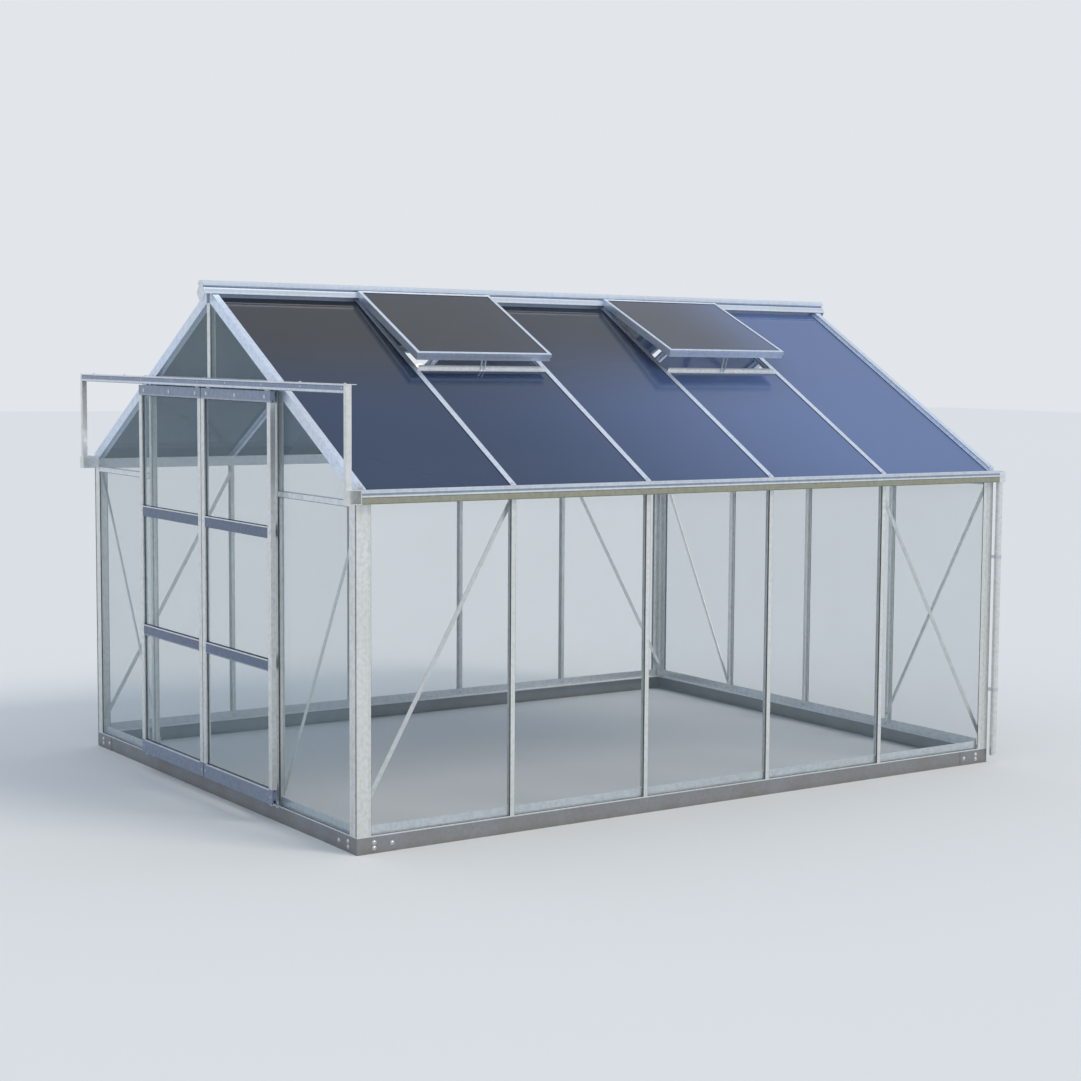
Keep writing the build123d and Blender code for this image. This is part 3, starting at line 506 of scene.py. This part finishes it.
shade = add(tree, "ShaderNodeBsdfPrincipled", {
    "Base Color": tint.outputs["Result"], "Roughness": gloss.outputs["Result"], "IOR": 1.58,
    "Alpha": seen_share.outputs["Value"],
})
add(tree, "ShaderNodeOutputMaterial", {"Surface": shade.outputs["BSDF"]})
cover(clear_sheet, "front_wall_panes", "back_wall_panes", "rear_gable_panes", "door_gable_panes",
      "door_left_panes", "door_right_panes")


# Roof and vent panes. The same sheets lying on the slope, glossy, in a colour that is a painted
# reflection of the evening sky: deep blue, paler towards the rear gable, and a painted dark
# reflection in patches below the ridge.
dark_reflection_width = 769.2
grime_width = 22.22
dark_reflection_heights = (1820.0, 2220.0)
reflection_paling_span = (-1200.0, 1350.0)
dark_reflection_end_span = (600.0, 1400.0)

# Polycarbonate with a painted sky reflection as its colour: a firm gloss that a fine grime makes uneven
sky_sheet, tree = new_material("sky_blue_roof_sheet")
place = add(tree, "ShaderNodeTexCoord")
parts = add(tree, "ShaderNodeSeparateXYZ", {"Vector": place.outputs["Object"]})
to_rear = add(tree, "ShaderNodeMapRange", {
    "Value": parts.outputs["X"], "From Min": reflection_paling_span[0] / 1000, "From Max": reflection_paling_span[1] / 1000,
}, interpolation_type="SMOOTHSTEP")
up_slope = add(tree, "ShaderNodeMapRange", {
    "Value": parts.outputs["Z"], "From Min": dark_reflection_heights[0] / 1000, "From Max": dark_reflection_heights[1] / 1000,
}, interpolation_type="SMOOTHSTEP")
# Painted dark reflection in patches high on the slope, fading out towards the rear gable
dark_reflection_patches = add(tree, "ShaderNodeTexNoise", {
    "Vector": place.outputs["Object"], "Scale": 1000 / dark_reflection_width, "Detail": 2.0,
})
grime = add(tree, "ShaderNodeTexNoise", {
    "Vector": place.outputs["Object"], "Scale": 1000 / grime_width, "Detail": 2.0,
})
dark_reflection_share = add(tree, "ShaderNodeMapRange", {
    "Value": dark_reflection_patches.outputs["Fac"], "From Min": 0.30, "From Max": 0.70, "To Min": 0.82, "To Max": 1.0,
})
less_dark_reflection = add(tree, "ShaderNodeMapRange", {
    "Value": parts.outputs["X"], "From Min": dark_reflection_end_span[0] / 1000,
    "From Max": dark_reflection_end_span[1] / 1000, "To Min": 0.88, "To Max": 0.05,
}, interpolation_type="SMOOTHSTEP")
dark_reflection_high = add(tree, "ShaderNodeMath", {
    0: up_slope.outputs["Result"], 1: dark_reflection_share.outputs["Result"],
}, operation="MULTIPLY")
dark_reflection_bays = add(tree, "ShaderNodeMath", {
    0: dark_reflection_high.outputs["Value"], 1: less_dark_reflection.outputs["Result"],
}, operation="MULTIPLY")
# Painted sky reflection: deep blue at the door end, paler towards the rear gable
blue = add(tree, "ShaderNodeMix", {
    "Factor": to_rear.outputs["Result"], "A": linear("1f385c"), "B": linear("5970a2"),
}, data_type="RGBA")
tone = add(tree, "ShaderNodeMix", {
    "Factor": dark_reflection_bays.outputs["Value"], "A": blue.outputs["Result"], "B": linear("2f2f2d"),
}, data_type="RGBA")
gloss = add(tree, "ShaderNodeMapRange", {"Value": grime.outputs["Fac"], "To Min": 0.04, "To Max": 0.12})
shade = add(tree, "ShaderNodeBsdfPrincipled", {
    "Base Color": tone.outputs["Result"], "Roughness": gloss.outputs["Result"], "IOR": 1.5,
    "Alpha": 0.93, "Specular IOR Level": 0.3,
})
add(tree, "ShaderNodeOutputMaterial", {"Surface": shade.outputs["BSDF"]})
cover(sky_sheet, "front_roof_panes", "back_roof_panes", "vent_panes")


# Glazing strips. Round beads of black rubber, 2.2 mm thick, pressed in along the caps of the bars
# where they meet the panes of the walls, of the doors, of the roof and of the vents.
bead_radius = 1.1
bead_depth = 2.2
leaf_bead_depths = (7.9, 14.1)
bloom_width = 16.67
side_lines = (760.0, 1480.0, 2200.0, 2920.0)
end_lines = (760.0, 1480.0, 2200.0)
post_edge = 66.0
cap_edge = 11.0
sill_lip_top = 78.0
eave_height = 1481.0
transom_foot = 1466.0
roof_start = 1540.0
roof_pitch = math.radians(29.4)
roof_cap_edge = 14.0
rafter_edge = 45.0
roof_pane_reach = (-12.0, 1644.0)
vent_bays = (1, 3)
vent_sill_place = 1007.7
vent_sill_cap = 20.0
leaf_starts = {"door_left": 1483.0, "door_right": 727.0}
leaf_width = 750.0
leaf_stile = 35.0
leaf_face = -43.0
leaf_openings = ((156.0, 687.5), (739.5, 1281.9), (1333.9, 1881.0))

# Extruded rubber: nearly black and dull, with a faint grey bloom
black_rubber, tree = new_material("black_epdm_rubber")
place = add(tree, "ShaderNodeTexCoord")
bloom = add(tree, "ShaderNodeTexNoise", {
    "Vector": place.outputs["Object"], "Scale": 1000 / bloom_width, "Detail": 3.0,
})
tone = add(tree, "ShaderNodeMix", {
    "Factor": bloom.outputs["Fac"], "A": linear("1d1e20"), "B": linear("3a3b3d"),
}, data_type="RGBA")
dull = add(tree, "ShaderNodeMapRange", {"Value": bloom.outputs["Fac"], "To Min": 0.55, "To Max": 0.8})
shade = add(tree, "ShaderNodeBsdfPrincipled", {
    "Base Color": tone.outputs["Result"], "Roughness": dull.outputs["Result"],
})
add(tree, "ShaderNodeOutputMaterial", {"Surface": shade.outputs["BSDF"]})

bead_tree, given = open_growth("glazing_strips", "Bead Radius")
runs = add(bead_tree, "GeometryNodeMeshToCurve", {"Mesh": given["Geometry"]})
bead_round = add(bead_tree, "GeometryNodeCurvePrimitiveCircle", {
    "Resolution": 8, "Radius": given["Bead Radius"],
})
beads = add(bead_tree, "GeometryNodeCurveToMesh", {
    "Curve": runs.outputs["Curve"], "Profile Curve": bead_round.outputs["Curve"], "Fill Caps": True,
})
close_growth(bead_tree, beads.outputs["Mesh"], given["Finish"])


def on_slope(x, up_slope_by, above, back=False):
    """Point over the outer faces of the roof bars, and the direction out of the slope there."""
    lean, rise = math.sin(roof_pitch), math.cos(roof_pitch)
    y = up_slope_by * rise - above * lean
    z = roof_start + up_slope_by * lean + above * rise
    if back:
        return placed(house_length - x, house_width - y, z), (0, lean, rise)
    return placed(x, y, z), (0, -lean, rise)


def runs_mesh(runs):
    """Mesh of loose edges: each run is a list of points, and closed where its ends are alike."""
    points, edges = [], []
    for run in runs:
        first = len(points)
        closed = run[0] == run[-1]
        own = run[:-1] if closed else run
        points.extend(own)
        edges.extend((first + i, first + i + 1) for i in range(len(own) - 1))
        if closed:
            edges.append((first + len(own) - 1, first))
    mesh = bpy.data.meshes.new("runs")
    mesh.from_pydata(points, edges, [])
    return mesh


def pane_loop(low_corner, high_corner, place_on):
    """Closed run round a pane's opening, a bead's radius inside it."""
    (a, low), (b, high) = low_corner, high_corner
    a, low, b, high = a + bead_radius, low + bead_radius, b - bead_radius, high - bead_radius
    return [place_on(*corner) for corner in ((a, low), (b, low), (b, high), (a, high), (a, low))]


strip_runs = []
for wall, lines, top in (
    ("front", side_lines, eave_height), ("back", side_lines, eave_height),
    ("rear", end_lines, transom_foot), ("door", end_lines, transom_foot),
):
    starts = [post_edge] + [line + cap_edge for line in lines]
    ends = [line - cap_edge for line in lines] + [wall_lengths[wall] - post_edge]
    bays = list(zip(starts, ends))
    for start, end in (bays[0], bays[-1]) if wall == "door" else bays:
        strip_runs.append(pane_loop((start, sill_lip_top), (end, top),
                                    lambda along, z: on_wall(wall, along, bead_depth, z)[0]))
roof_starts = [rafter_edge] + [line + roof_cap_edge for line in side_lines]
roof_ends = [line - roof_cap_edge for line in side_lines] + [house_length - rafter_edge]
for back in (False, True):
    for index, (start, end) in enumerate(zip(roof_starts, roof_ends)):
        top = vent_sill_place - vent_sill_cap if index in vent_bays else roof_pane_reach[1]
        for x in (start + bead_radius, end - bead_radius):
            strip_runs.append([on_slope(x, up, -bead_depth, back)[0] for up in (roof_pane_reach[0], top)])
grown("glazing_strips", runs_mesh(strip_runs), bead_tree, "house", "bar_aluminium", black_rubber,
      bead_radius=bead_radius)
for body, start in leaf_starts.items():
    leaf_runs = []
    for low, high in leaf_openings:
        for depth in leaf_bead_depths:
            leaf_runs.append(pane_loop((start + leaf_stile, low), (start + leaf_width - leaf_stile, high),
                                       lambda y, z: placed(leaf_face + depth, y, z)))
    grown(body + "_strips", runs_mesh(leaf_runs), bead_tree, body, "bar_aluminium", black_rubber,
          bead_radius=bead_radius)


# Brace and bar nuts. Zinc-plated hexagon nuts, 10 mm across flats, on washers, drawn up on bolts
# whose square heads slide in the inner channel of each bar. They hold the braces and the bars.
brace_low, brace_high = 140.0, 1462.0
brace_bolt_inset = 14.0
brace_post_place = 22.0
side_braces = ((brace_post_place, side_lines[0]), (house_length - brace_post_place, side_lines[-1]))
end_braces = ((end_lines[0], brace_post_place), (end_lines[-1], house_width - brace_post_place))
bar_inner_face = 32.0
brace_inner_face = 35.0
bar_foot_nut = 98.0
bar_head_nut = 1440.0
head_nut_lines = side_lines[1:3]
nut_sizes = {
    "nut_radius": 5.8, "nut_height": 5.0, "washer_radius": 6.2, "washer_thickness": 1.2,
    "bolt_radius": 3.0, "bolt_length": 8.5,
}

nut_tree, given = open_growth(
    "nuts_on_washers", "Nut Radius", "Nut Height", "Washer Radius", "Washer Thickness", "Bolt Radius",
    "Bolt Length")
hexagon = add(nut_tree, "GeometryNodeMeshCylinder", {
    "Vertices": 6, "Radius": given["Nut Radius"], "Depth": given["Nut Height"],
})
nut_middle = add(nut_tree, "ShaderNodeMath", {
    0: given["Nut Height"], 1: 0.5, 2: given["Washer Thickness"],
}, operation="MULTIPLY_ADD")
nut_lift = add(nut_tree, "ShaderNodeCombineXYZ", {"Z": nut_middle.outputs["Value"]})
nut = add(nut_tree, "GeometryNodeTransform", {
    "Geometry": hexagon.outputs["Mesh"], "Translation": nut_lift.outputs["Vector"],
})
washer_height = add(nut_tree, "ShaderNodeMath", {
    0: given["Washer Thickness"], 1: 2.0,
}, operation="MULTIPLY")
washer = add(nut_tree, "GeometryNodeMeshCylinder", {
    "Vertices": 20, "Radius": given["Washer Radius"], "Depth": washer_height.outputs["Value"],
})
bolt_height = add(nut_tree, "ShaderNodeMath", {
    0: given["Bolt Length"], 1: 2.0,
}, operation="MULTIPLY")
bolt_end = add(nut_tree, "GeometryNodeMeshCylinder", {
    "Vertices": 12, "Radius": given["Bolt Radius"], "Depth": bolt_height.outputs["Value"],
})
fastener = add(nut_tree, "GeometryNodeJoinGeometry", {
    "Geometry": [nut.outputs["Geometry"], washer.outputs["Mesh"], bolt_end.outputs["Mesh"]],
})
copies = on_spots(nut_tree, given["Geometry"], fastener.outputs["Geometry"])
close_growth(nut_tree, copies, given["Finish"])

nut_spots = []
for wall, lines, brace_ends in (
    ("front", side_lines, side_braces), ("back", side_lines, side_braces),
    ("door", (end_lines[0], end_lines[-1]), end_braces), ("rear", end_lines, end_braces),
):
    for low_place, high_place in brace_ends:
        run, rise = high_place - low_place, brace_high - brace_low
        share = brace_bolt_inset / math.hypot(run, rise)
        for part in (share, 1 - share):
            along, z = low_place + part * run, brace_low + part * rise
            nut_spots.append(on_wall(wall, along, brace_inner_face, z, way=1))
    for line in lines:
        nut_spots.append(on_wall(wall, line, bar_inner_face, bar_foot_nut, way=1))
        if wall in ("front", "back") and line in head_nut_lines:
            nut_spots.append(on_wall(wall, line, bar_inner_face, bar_head_nut, way=1))
grown("brace_and_bar_nuts", spots_mesh(nut_spots), nut_tree, "house", "hanger_steel", zinc,
      **nut_sizes)


# Roof bolts and rivets. A small cup-head bolt holds the foot of each roof bar down on the eave,
# and dome-head rivets hold the pressed end plates on the ridge.
rafter_middle = 15.25
rafter_middles = (rafter_middle, house_length - rafter_middle)
rafter_rise = 15.0
roof_bolt_up = 16.0
ridge_top = 2431.94
ridge_plate_faces = (-36.5, 3716.5)
rivet_places = ((-20, 18), (20, 18), (-26, 50), (26, 50), (0, 84))

roof_spots = []
for x in (rafter_middles[0], *side_lines, rafter_middles[1]):
    above = rafter_rise if x in rafter_middles else 0.0
    for back in (False, True):
        roof_spots.append(on_slope(x, roof_bolt_up, above, back))
grown("roof_bar_bolts", spots_mesh(roof_spots), bolt_tree, "house", "hanger_steel", zinc,
      head_radius=5.5, head_height=3.0, washer_radius=6.8, washer_thickness=0.8)
rivet_spots = []
for face, direction in zip(ridge_plate_faces, (-1, 1)):
    for reach, drop in rivet_places:
        rivet_spots.append((placed(face, house_width / 2 + reach, ridge_top - drop), (direction, 0, 0)))
grown("ridge_end_rivets", spots_mesh(rivet_spots), bolt_tree, "house", "bar_aluminium",
      aluminium_across, head_radius=3.5, head_height=1.4, washer_radius=3.6, washer_thickness=0.3)


# Downpipe clips. Each is one strip of zinc-plated steel, 18 mm wide, bent round the pipe and
# screwed flat to the rear face of the corner post.
pipe_middle = (3701.0, -25.0)
clip_radius = 18.0
clip_wall = 1.2
clip_width = 18.0
clip_heights = (380.0, 1080.0)
clip_tab = (2.0, 26.0)
clip_post_face = 3680.0
clip_start = 140.0
clip_sweep = 310.0
clip_steps = 28

outer_radius = clip_radius + clip_wall
outer_face = clip_post_face + clip_wall
angles = [math.radians(clip_start + clip_sweep * step / clip_steps) for step in range(clip_steps + 1)]
tab_start_x = pipe_middle[0] + clip_radius * math.cos(angles[0])
tab_start_y = pipe_middle[1] + clip_radius * math.sin(angles[0])
tab_outline = (
    (tab_start_x, tab_start_y), (tab_start_x + clip_wall, tab_start_y + clip_wall),
    (outer_face, clip_tab[0]), (outer_face, clip_tab[1]),
    (clip_post_face, clip_tab[1]), (clip_post_face, clip_tab[0] - 2 * clip_wall),
)
work = bmesh.new()
clip_spots = []
for mirrored in (False, True):
    for low in clip_heights:
        high = low + clip_width
        rings = []
        for angle in angles:
            corners = []
            for radius, z in (
                (clip_radius, low), (outer_radius, low), (outer_radius, high), (clip_radius, high),
            ):
                x = pipe_middle[0] + radius * math.cos(angle)
                y = pipe_middle[1] + radius * math.sin(angle)
                y = house_width - y if mirrored else y
                corners.append(work.verts.new(placed(x, y, z)))
            rings.append(corners)
        for ring, following in zip(rings, rings[1:]):
            for i in range(4):
                j = (i + 1) % 4
                work.faces.new((ring[i], ring[j], following[j], following[i]))
        work.faces.new(rings[0][::-1])
        work.faces.new(rings[-1])
        outline = [(x, house_width - y if mirrored else y) for x, y in tab_outline]
        bottom = [work.verts.new(placed(x, y, low)) for x, y in outline]
        top = [work.verts.new(placed(x, y, high)) for x, y in outline]
        work.faces.new(bottom)
        work.faces.new(top)
        for i in range(len(outline)):
            j = (i + 1) % len(outline)
            work.faces.new((bottom[i], bottom[j], top[j], top[i]))
        screw_y = (clip_tab[0] + clip_tab[1]) / 2
        screw_y = house_width - screw_y if mirrored else screw_y
        clip_spots.append((placed(outer_face, screw_y, low + clip_width / 2), (1, 0, 0)))
bmesh.ops.recalc_face_normals(work, faces=work.faces)
clip_mesh = bpy.data.meshes.new("downpipe_clips")
work.to_mesh(clip_mesh)
work.free()
clip_mesh.materials.append(zinc)
clips = bpy.data.objects.new("downpipe_clips", clip_mesh)
bpy.context.scene.collection.objects.link(clips)
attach(clips, "house")
grown("downpipe_clip_screws", spots_mesh(clip_spots), bolt_tree, "house", "hanger_steel", zinc,
      head_radius=4.0, head_height=2.0, washer_radius=4.2, washer_thickness=0.4)


# Vent fittings. Each vent rests on two stay bars, which turn on cup-head pins at the sill and at
# the bottom rail; screws hold the corners of its frame, and a rubber bead seals its pane.
vent_length = 665.0
vent_width = 740.0
vent_depth = 38.0
vent_rail = 24.0
vent_lip = 18.0
vent_hinge = (1433.7, 2403.94)
vent_starts = (750.0, 2190.0)
vent_tilts = (math.radians(26.418), math.radians(23.367))
stay_side = 11.5
stay_foot_rise = 9.0
stay_pin_shares = (0.16, 0.84)
corner_screw_inset = 14.0
corner_screw_drop = 9.0
vent_bead_drop = 0.1


def on_vent(index, x, above, down, back=False):
    """Point of a vent, measured from the left end of its hinge, over its face and down its slope."""
    tilt = vent_tilts[index]
    y = vent_hinge[0] - above * math.sin(tilt) - down * math.cos(tilt)
    z = vent_hinge[1] + above * math.cos(tilt) - down * math.sin(tilt)
    if back:
        return placed(house_length - vent_starts[index] - x, house_width - y, z)
    return placed(vent_starts[index] + x, y, z)


pin_spots, screw_spots, vent_runs = [], [], []
for index in range(len(vent_starts)):
    for back in (False, True):
        turned = -1 if back else 1
        sill_middle = vent_starts[index] + vent_width / 2
        foot = Vector(on_slope(sill_middle, vent_sill_place, stay_foot_rise, back)[0])
        head = Vector(on_vent(index, vent_width / 2, -vent_depth, vent_length - vent_rail / 2, back))
        for share in stay_pin_shares:
            middle = foot.lerp(head, share)
            for side in (-1, 1):
                pin_spots.append((tuple(middle + Vector((side * turned * stay_side / 1000, 0, 0))),
                                  (side * turned, 0, 0)))
        for down in (corner_screw_inset, vent_length - corner_screw_inset):
            for x, side in ((0.0, -1), (vent_width, 1)):
                place = on_vent(index, x, -corner_screw_drop, down, back)
                screw_spots.append((place, (side * turned, 0, 0)))
        vent_runs.append(pane_loop((vent_lip, vent_lip), (vent_width - vent_lip, vent_length - vent_lip),
                                   lambda x, down: on_vent(index, x, -vent_bead_drop, down, back)))
grown("vent_stay_pins", spots_mesh(pin_spots), bolt_tree, "house", "hanger_steel", zinc,
      head_radius=4.2, head_height=2.2, washer_radius=5.0, washer_thickness=0.6)
grown("vent_corner_screws", spots_mesh(screw_spots), bolt_tree, "house", "hanger_steel", zinc,
      head_radius=3.8, head_height=1.8, washer_radius=4.0, washer_thickness=0.4)
grown("vent_strips", runs_mesh(vent_runs), bead_tree, "house", "bar_aluminium", black_rubber,
      bead_radius=0.9)


# Door track bolts. Cup-head bolts stand on top of the track where it is hung from the gable and on
# the brackets of its end posts, low screws sit in its grooved face, and bolts hold the floor guides
# to the base below the jambs.
track_top = 1975.0
track_bolt_line = -20.0
track_bolt_places = (60, 480, 760, 1480, 2200, 2480, 2900)
bracket_top = 1542.0
bracket_bolt_line = -18.0
bracket_bolt_reach = 25.0
track_recess_face = -58.0
track_recess_middle = 1959.0
track_screw_places = (20, 400, 790, 1170, 1480, 1790, 2170, 2560, 2940)
guide_face = -3.0
guide_bolt_height = 74.0
guide_bolt_reach = 9.0

track_spots = [(placed(track_bolt_line, y, track_top), (0, 0, 1)) for y in track_bolt_places]
track_spots += [
    (placed(bracket_bolt_line, y, bracket_top), (0, 0, 1))
    for y in (-bracket_bolt_reach, house_width + bracket_bolt_reach)
]
grown("door_track_bolts", spots_mesh(track_spots), bolt_tree, "house", "hanger_steel", zinc,
      head_radius=6.5, head_height=4.0, washer_radius=9.0, washer_thickness=1.0)
face_spots = [
    (placed(track_recess_face, y, track_recess_middle), (-1, 0, 0)) for y in track_screw_places
]
grown("door_track_screws", spots_mesh(face_spots), bolt_tree, "house", "hanger_steel", zinc,
      head_radius=4.5, head_height=1.4, washer_radius=4.8, washer_thickness=0.3)
guide_spots = [
    (placed(guide_face, y + side * guide_bolt_reach, guide_bolt_height), (-1, 0, 0))
    for y in (end_lines[0], end_lines[-1]) for side in (-1, 1)
]
grown("door_guide_bolts", spots_mesh(guide_spots), bolt_tree, "house", "hanger_steel", zinc,
      head_radius=4.0, head_height=2.5, washer_radius=5.2, washer_thickness=0.6)


# Door hangers. Pressed zinc-plated steel angles, each with an axle and a turned wheel on it; a
# nut locks the axle on the inside, and two screws hold the foot down on the top rail.
hanger_inset = 60.0
axle_height = 1957.3
hanger_inner_face = -30.0
hanger_foot_top = 1934.0
hanger_foot_middle = -26.2
foot_screw_reach = 12.0

cover(zinc, "door_left_hangers", "door_right_hangers")
for body, start in leaf_starts.items():
    places = (start + hanger_inset, start + leaf_width - hanger_inset)
    axle_spots = [(placed(hanger_inner_face, y, axle_height), (1, 0, 0)) for y in places]
    grown(body + "_axle_nuts", spots_mesh(axle_spots), nut_tree, body, "hanger_steel", zinc,
          **nut_sizes)
    foot_spots = [
        (placed(hanger_foot_middle, y + side * foot_screw_reach, hanger_foot_top), (0, 0, 1))
        for y in places for side in (-1, 1)
    ]
    grown(body + "_hanger_screws", spots_mesh(foot_spots), bolt_tree, body, "hanger_steel", zinc,
          head_radius=2.8, head_height=1.6, washer_radius=3.0, washer_thickness=0.3)


# Door rail lips. A rounded drip lip runs along the top edge of the bottom rail and of both cross
# rails, drawn with the rail in one extrusion, and it sheds rainwater clear of the bead above it.
lip_depth = 3.0
lip_height = 6.0
lip_sunk = 0.5
lip_place = leaf_face + lip_sunk - lip_depth / 2
lip_sizes = {
    "lip_depth": lip_depth, "lip_height": lip_height, "lip_length": leaf_width - 2 * leaf_stile,
    "edge_radius": 1.0,
}

lip_tree, given = open_growth("rail_lips", "Lip Depth", "Lip Height", "Lip Length", "Edge Radius")
lip_section = add(lip_tree, "GeometryNodeCurvePrimitiveQuadrilateral", {
    "Width": given["Lip Depth"], "Height": given["Lip Height"],
})
rounded = add(lip_tree, "GeometryNodeFilletCurve", {
    "Curve": lip_section.outputs["Curve"], "Radius": given["Edge Radius"], "Count": 3,
}, mode="POLY")
half = add(lip_tree, "ShaderNodeMath", {0: given["Lip Length"], 1: 0.5}, operation="MULTIPLY")
other_half = add(lip_tree, "ShaderNodeMath", {0: given["Lip Length"], 1: -0.5}, operation="MULTIPLY")
lip_end = add(lip_tree, "ShaderNodeCombineXYZ", {"Y": half.outputs["Value"]})
lip_start = add(lip_tree, "ShaderNodeCombineXYZ", {"Y": other_half.outputs["Value"]})
lip_line = add(lip_tree, "GeometryNodeCurvePrimitiveLine", {
    "Start": lip_start.outputs["Vector"], "End": lip_end.outputs["Vector"],
})
lip = add(lip_tree, "GeometryNodeCurveToMesh", {
    "Curve": lip_line.outputs["Curve"], "Profile Curve": rounded.outputs["Curve"], "Fill Caps": True,
})
copies = add(lip_tree, "GeometryNodeInstanceOnPoints", {
    "Points": given["Geometry"], "Instance": lip.outputs["Mesh"],
})
close_growth(lip_tree, copies.outputs["Instances"], given["Finish"])

for body, start in leaf_starts.items():
    lip_spots = [
        (placed(lip_place, start + leaf_width / 2, opening[0] - lip_height / 2), (-1, 0, 0))
        for opening in leaf_openings
    ]
    grown(body + "_rail_lips", spots_mesh(lip_spots), lip_tree, body, "bar_aluminium",
          aluminium_across, **lip_sizes)


# Door leaf screws. Pan-head screws through the stiles into the ends of the rails, and broad low
# heads along the top rail, which hold the hangers.
top_rail_middle = 1906.0
rail_middles = (122.0, 713.5, 1307.9)

for body, start in leaf_starts.items():
    stile_spots = [
        (placed(leaf_face, start + along, z), (-1, 0, 0))
        for z in rail_middles for along in (leaf_stile / 2, leaf_width - leaf_stile / 2)
    ]
    grown(body + "_stile_screws", spots_mesh(stile_spots), bolt_tree, body, "hanger_steel", zinc,
          head_radius=4.5, head_height=2.2, washer_radius=4.8, washer_thickness=0.4)
    rail_spots = [
        (placed(leaf_face, start + along, top_rail_middle), (-1, 0, 0))
        for along in (hanger_inset, leaf_width / 2, leaf_width - hanger_inset)
    ]
    grown(body + "_rail_screws", spots_mesh(rail_spots), bolt_tree, body, "hanger_steel", zinc,
          head_radius=7.5, head_height=2.2, washer_radius=9.5, washer_thickness=0.6)


# Meeting brushes. A pile strip on the closing edge of each leaf: a round cord with bristles of
# black polypropylene, drawn as coarse tapered tufts 5 mm apart, because the real ones don't show.
brush_low, brush_high = 100.0, 1925.0
brush_middle = -32.0
brush_lift = 0.2
closing_edges = (
    ("door_left", leaf_starts["door_left"], -1),
    ("door_right", leaf_starts["door_right"] + leaf_width, 1),
)
tuft_sway = 0.12
sway_seed = 5

pile_tree, given = open_growth(
    "pile_strip", "Tuft Spacing", "Tuft Length", "Tuft Radius", "Tip Radius", "Cord Radius")
line = add(pile_tree, "GeometryNodeMeshToCurve", {"Mesh": given["Geometry"]})
cord_round = add(pile_tree, "GeometryNodeCurvePrimitiveCircle", {
    "Resolution": 6, "Radius": given["Cord Radius"],
})
cord = add(pile_tree, "GeometryNodeCurveToMesh", {
    "Curve": line.outputs["Curve"], "Profile Curve": cord_round.outputs["Curve"], "Fill Caps": True,
})
steps = add(pile_tree, "GeometryNodeResampleCurve", {
    "Curve": line.outputs["Curve"], "Length": given["Tuft Spacing"],
}, mode="LENGTH")
tuft = add(pile_tree, "GeometryNodeMeshCone", {
    "Vertices": 5, "Radius Top": given["Tip Radius"], "Radius Bottom": given["Tuft Radius"],
    "Depth": given["Tuft Length"],
})
facing = add(pile_tree, "GeometryNodeInputNamedAttribute", {"Name": "facing"}, data_type="FLOAT_VECTOR")
sway = add(pile_tree, "FunctionNodeRandomValue", {
    "Min": (-tuft_sway,) * 3, "Max": (tuft_sway,) * 3, "Seed": sway_seed,
}, data_type="FLOAT_VECTOR")
leaning = add(pile_tree, "ShaderNodeVectorMath", {
    0: facing.outputs["Attribute"], 1: sway.outputs["Value"],
}, operation="ADD")
turn = add(pile_tree, "FunctionNodeAlignRotationToVector", {
    "Vector": leaning.outputs["Vector"],
}, axis="Z")
tufts = add(pile_tree, "GeometryNodeInstanceOnPoints", {
    "Points": steps.outputs["Curve"], "Instance": tuft.outputs["Mesh"],
    "Rotation": turn.outputs["Rotation"],
})
strip = add(pile_tree, "GeometryNodeJoinGeometry", {
    "Geometry": [cord.outputs["Mesh"], tufts.outputs["Instances"]],
})
close_growth(pile_tree, strip.outputs["Geometry"], given["Finish"])

for body, edge, toward in closing_edges:
    ends = [placed(brush_middle, edge + toward * brush_lift, z) for z in (brush_low, brush_high)]
    line_mesh = runs_mesh([ends])
    toward_gap = line_mesh.attributes.new("facing", "FLOAT_VECTOR", "POINT")
    for item in toward_gap.data:
        item.vector = (0, toward, 0)
    grown(body + "_brush", line_mesh, pile_tree, body, "bar_aluminium", black_rubber,
          tuft_spacing=5.0, tuft_length=2.4, tuft_radius=1.2, tip_radius=0.2, cord_radius=0.6)
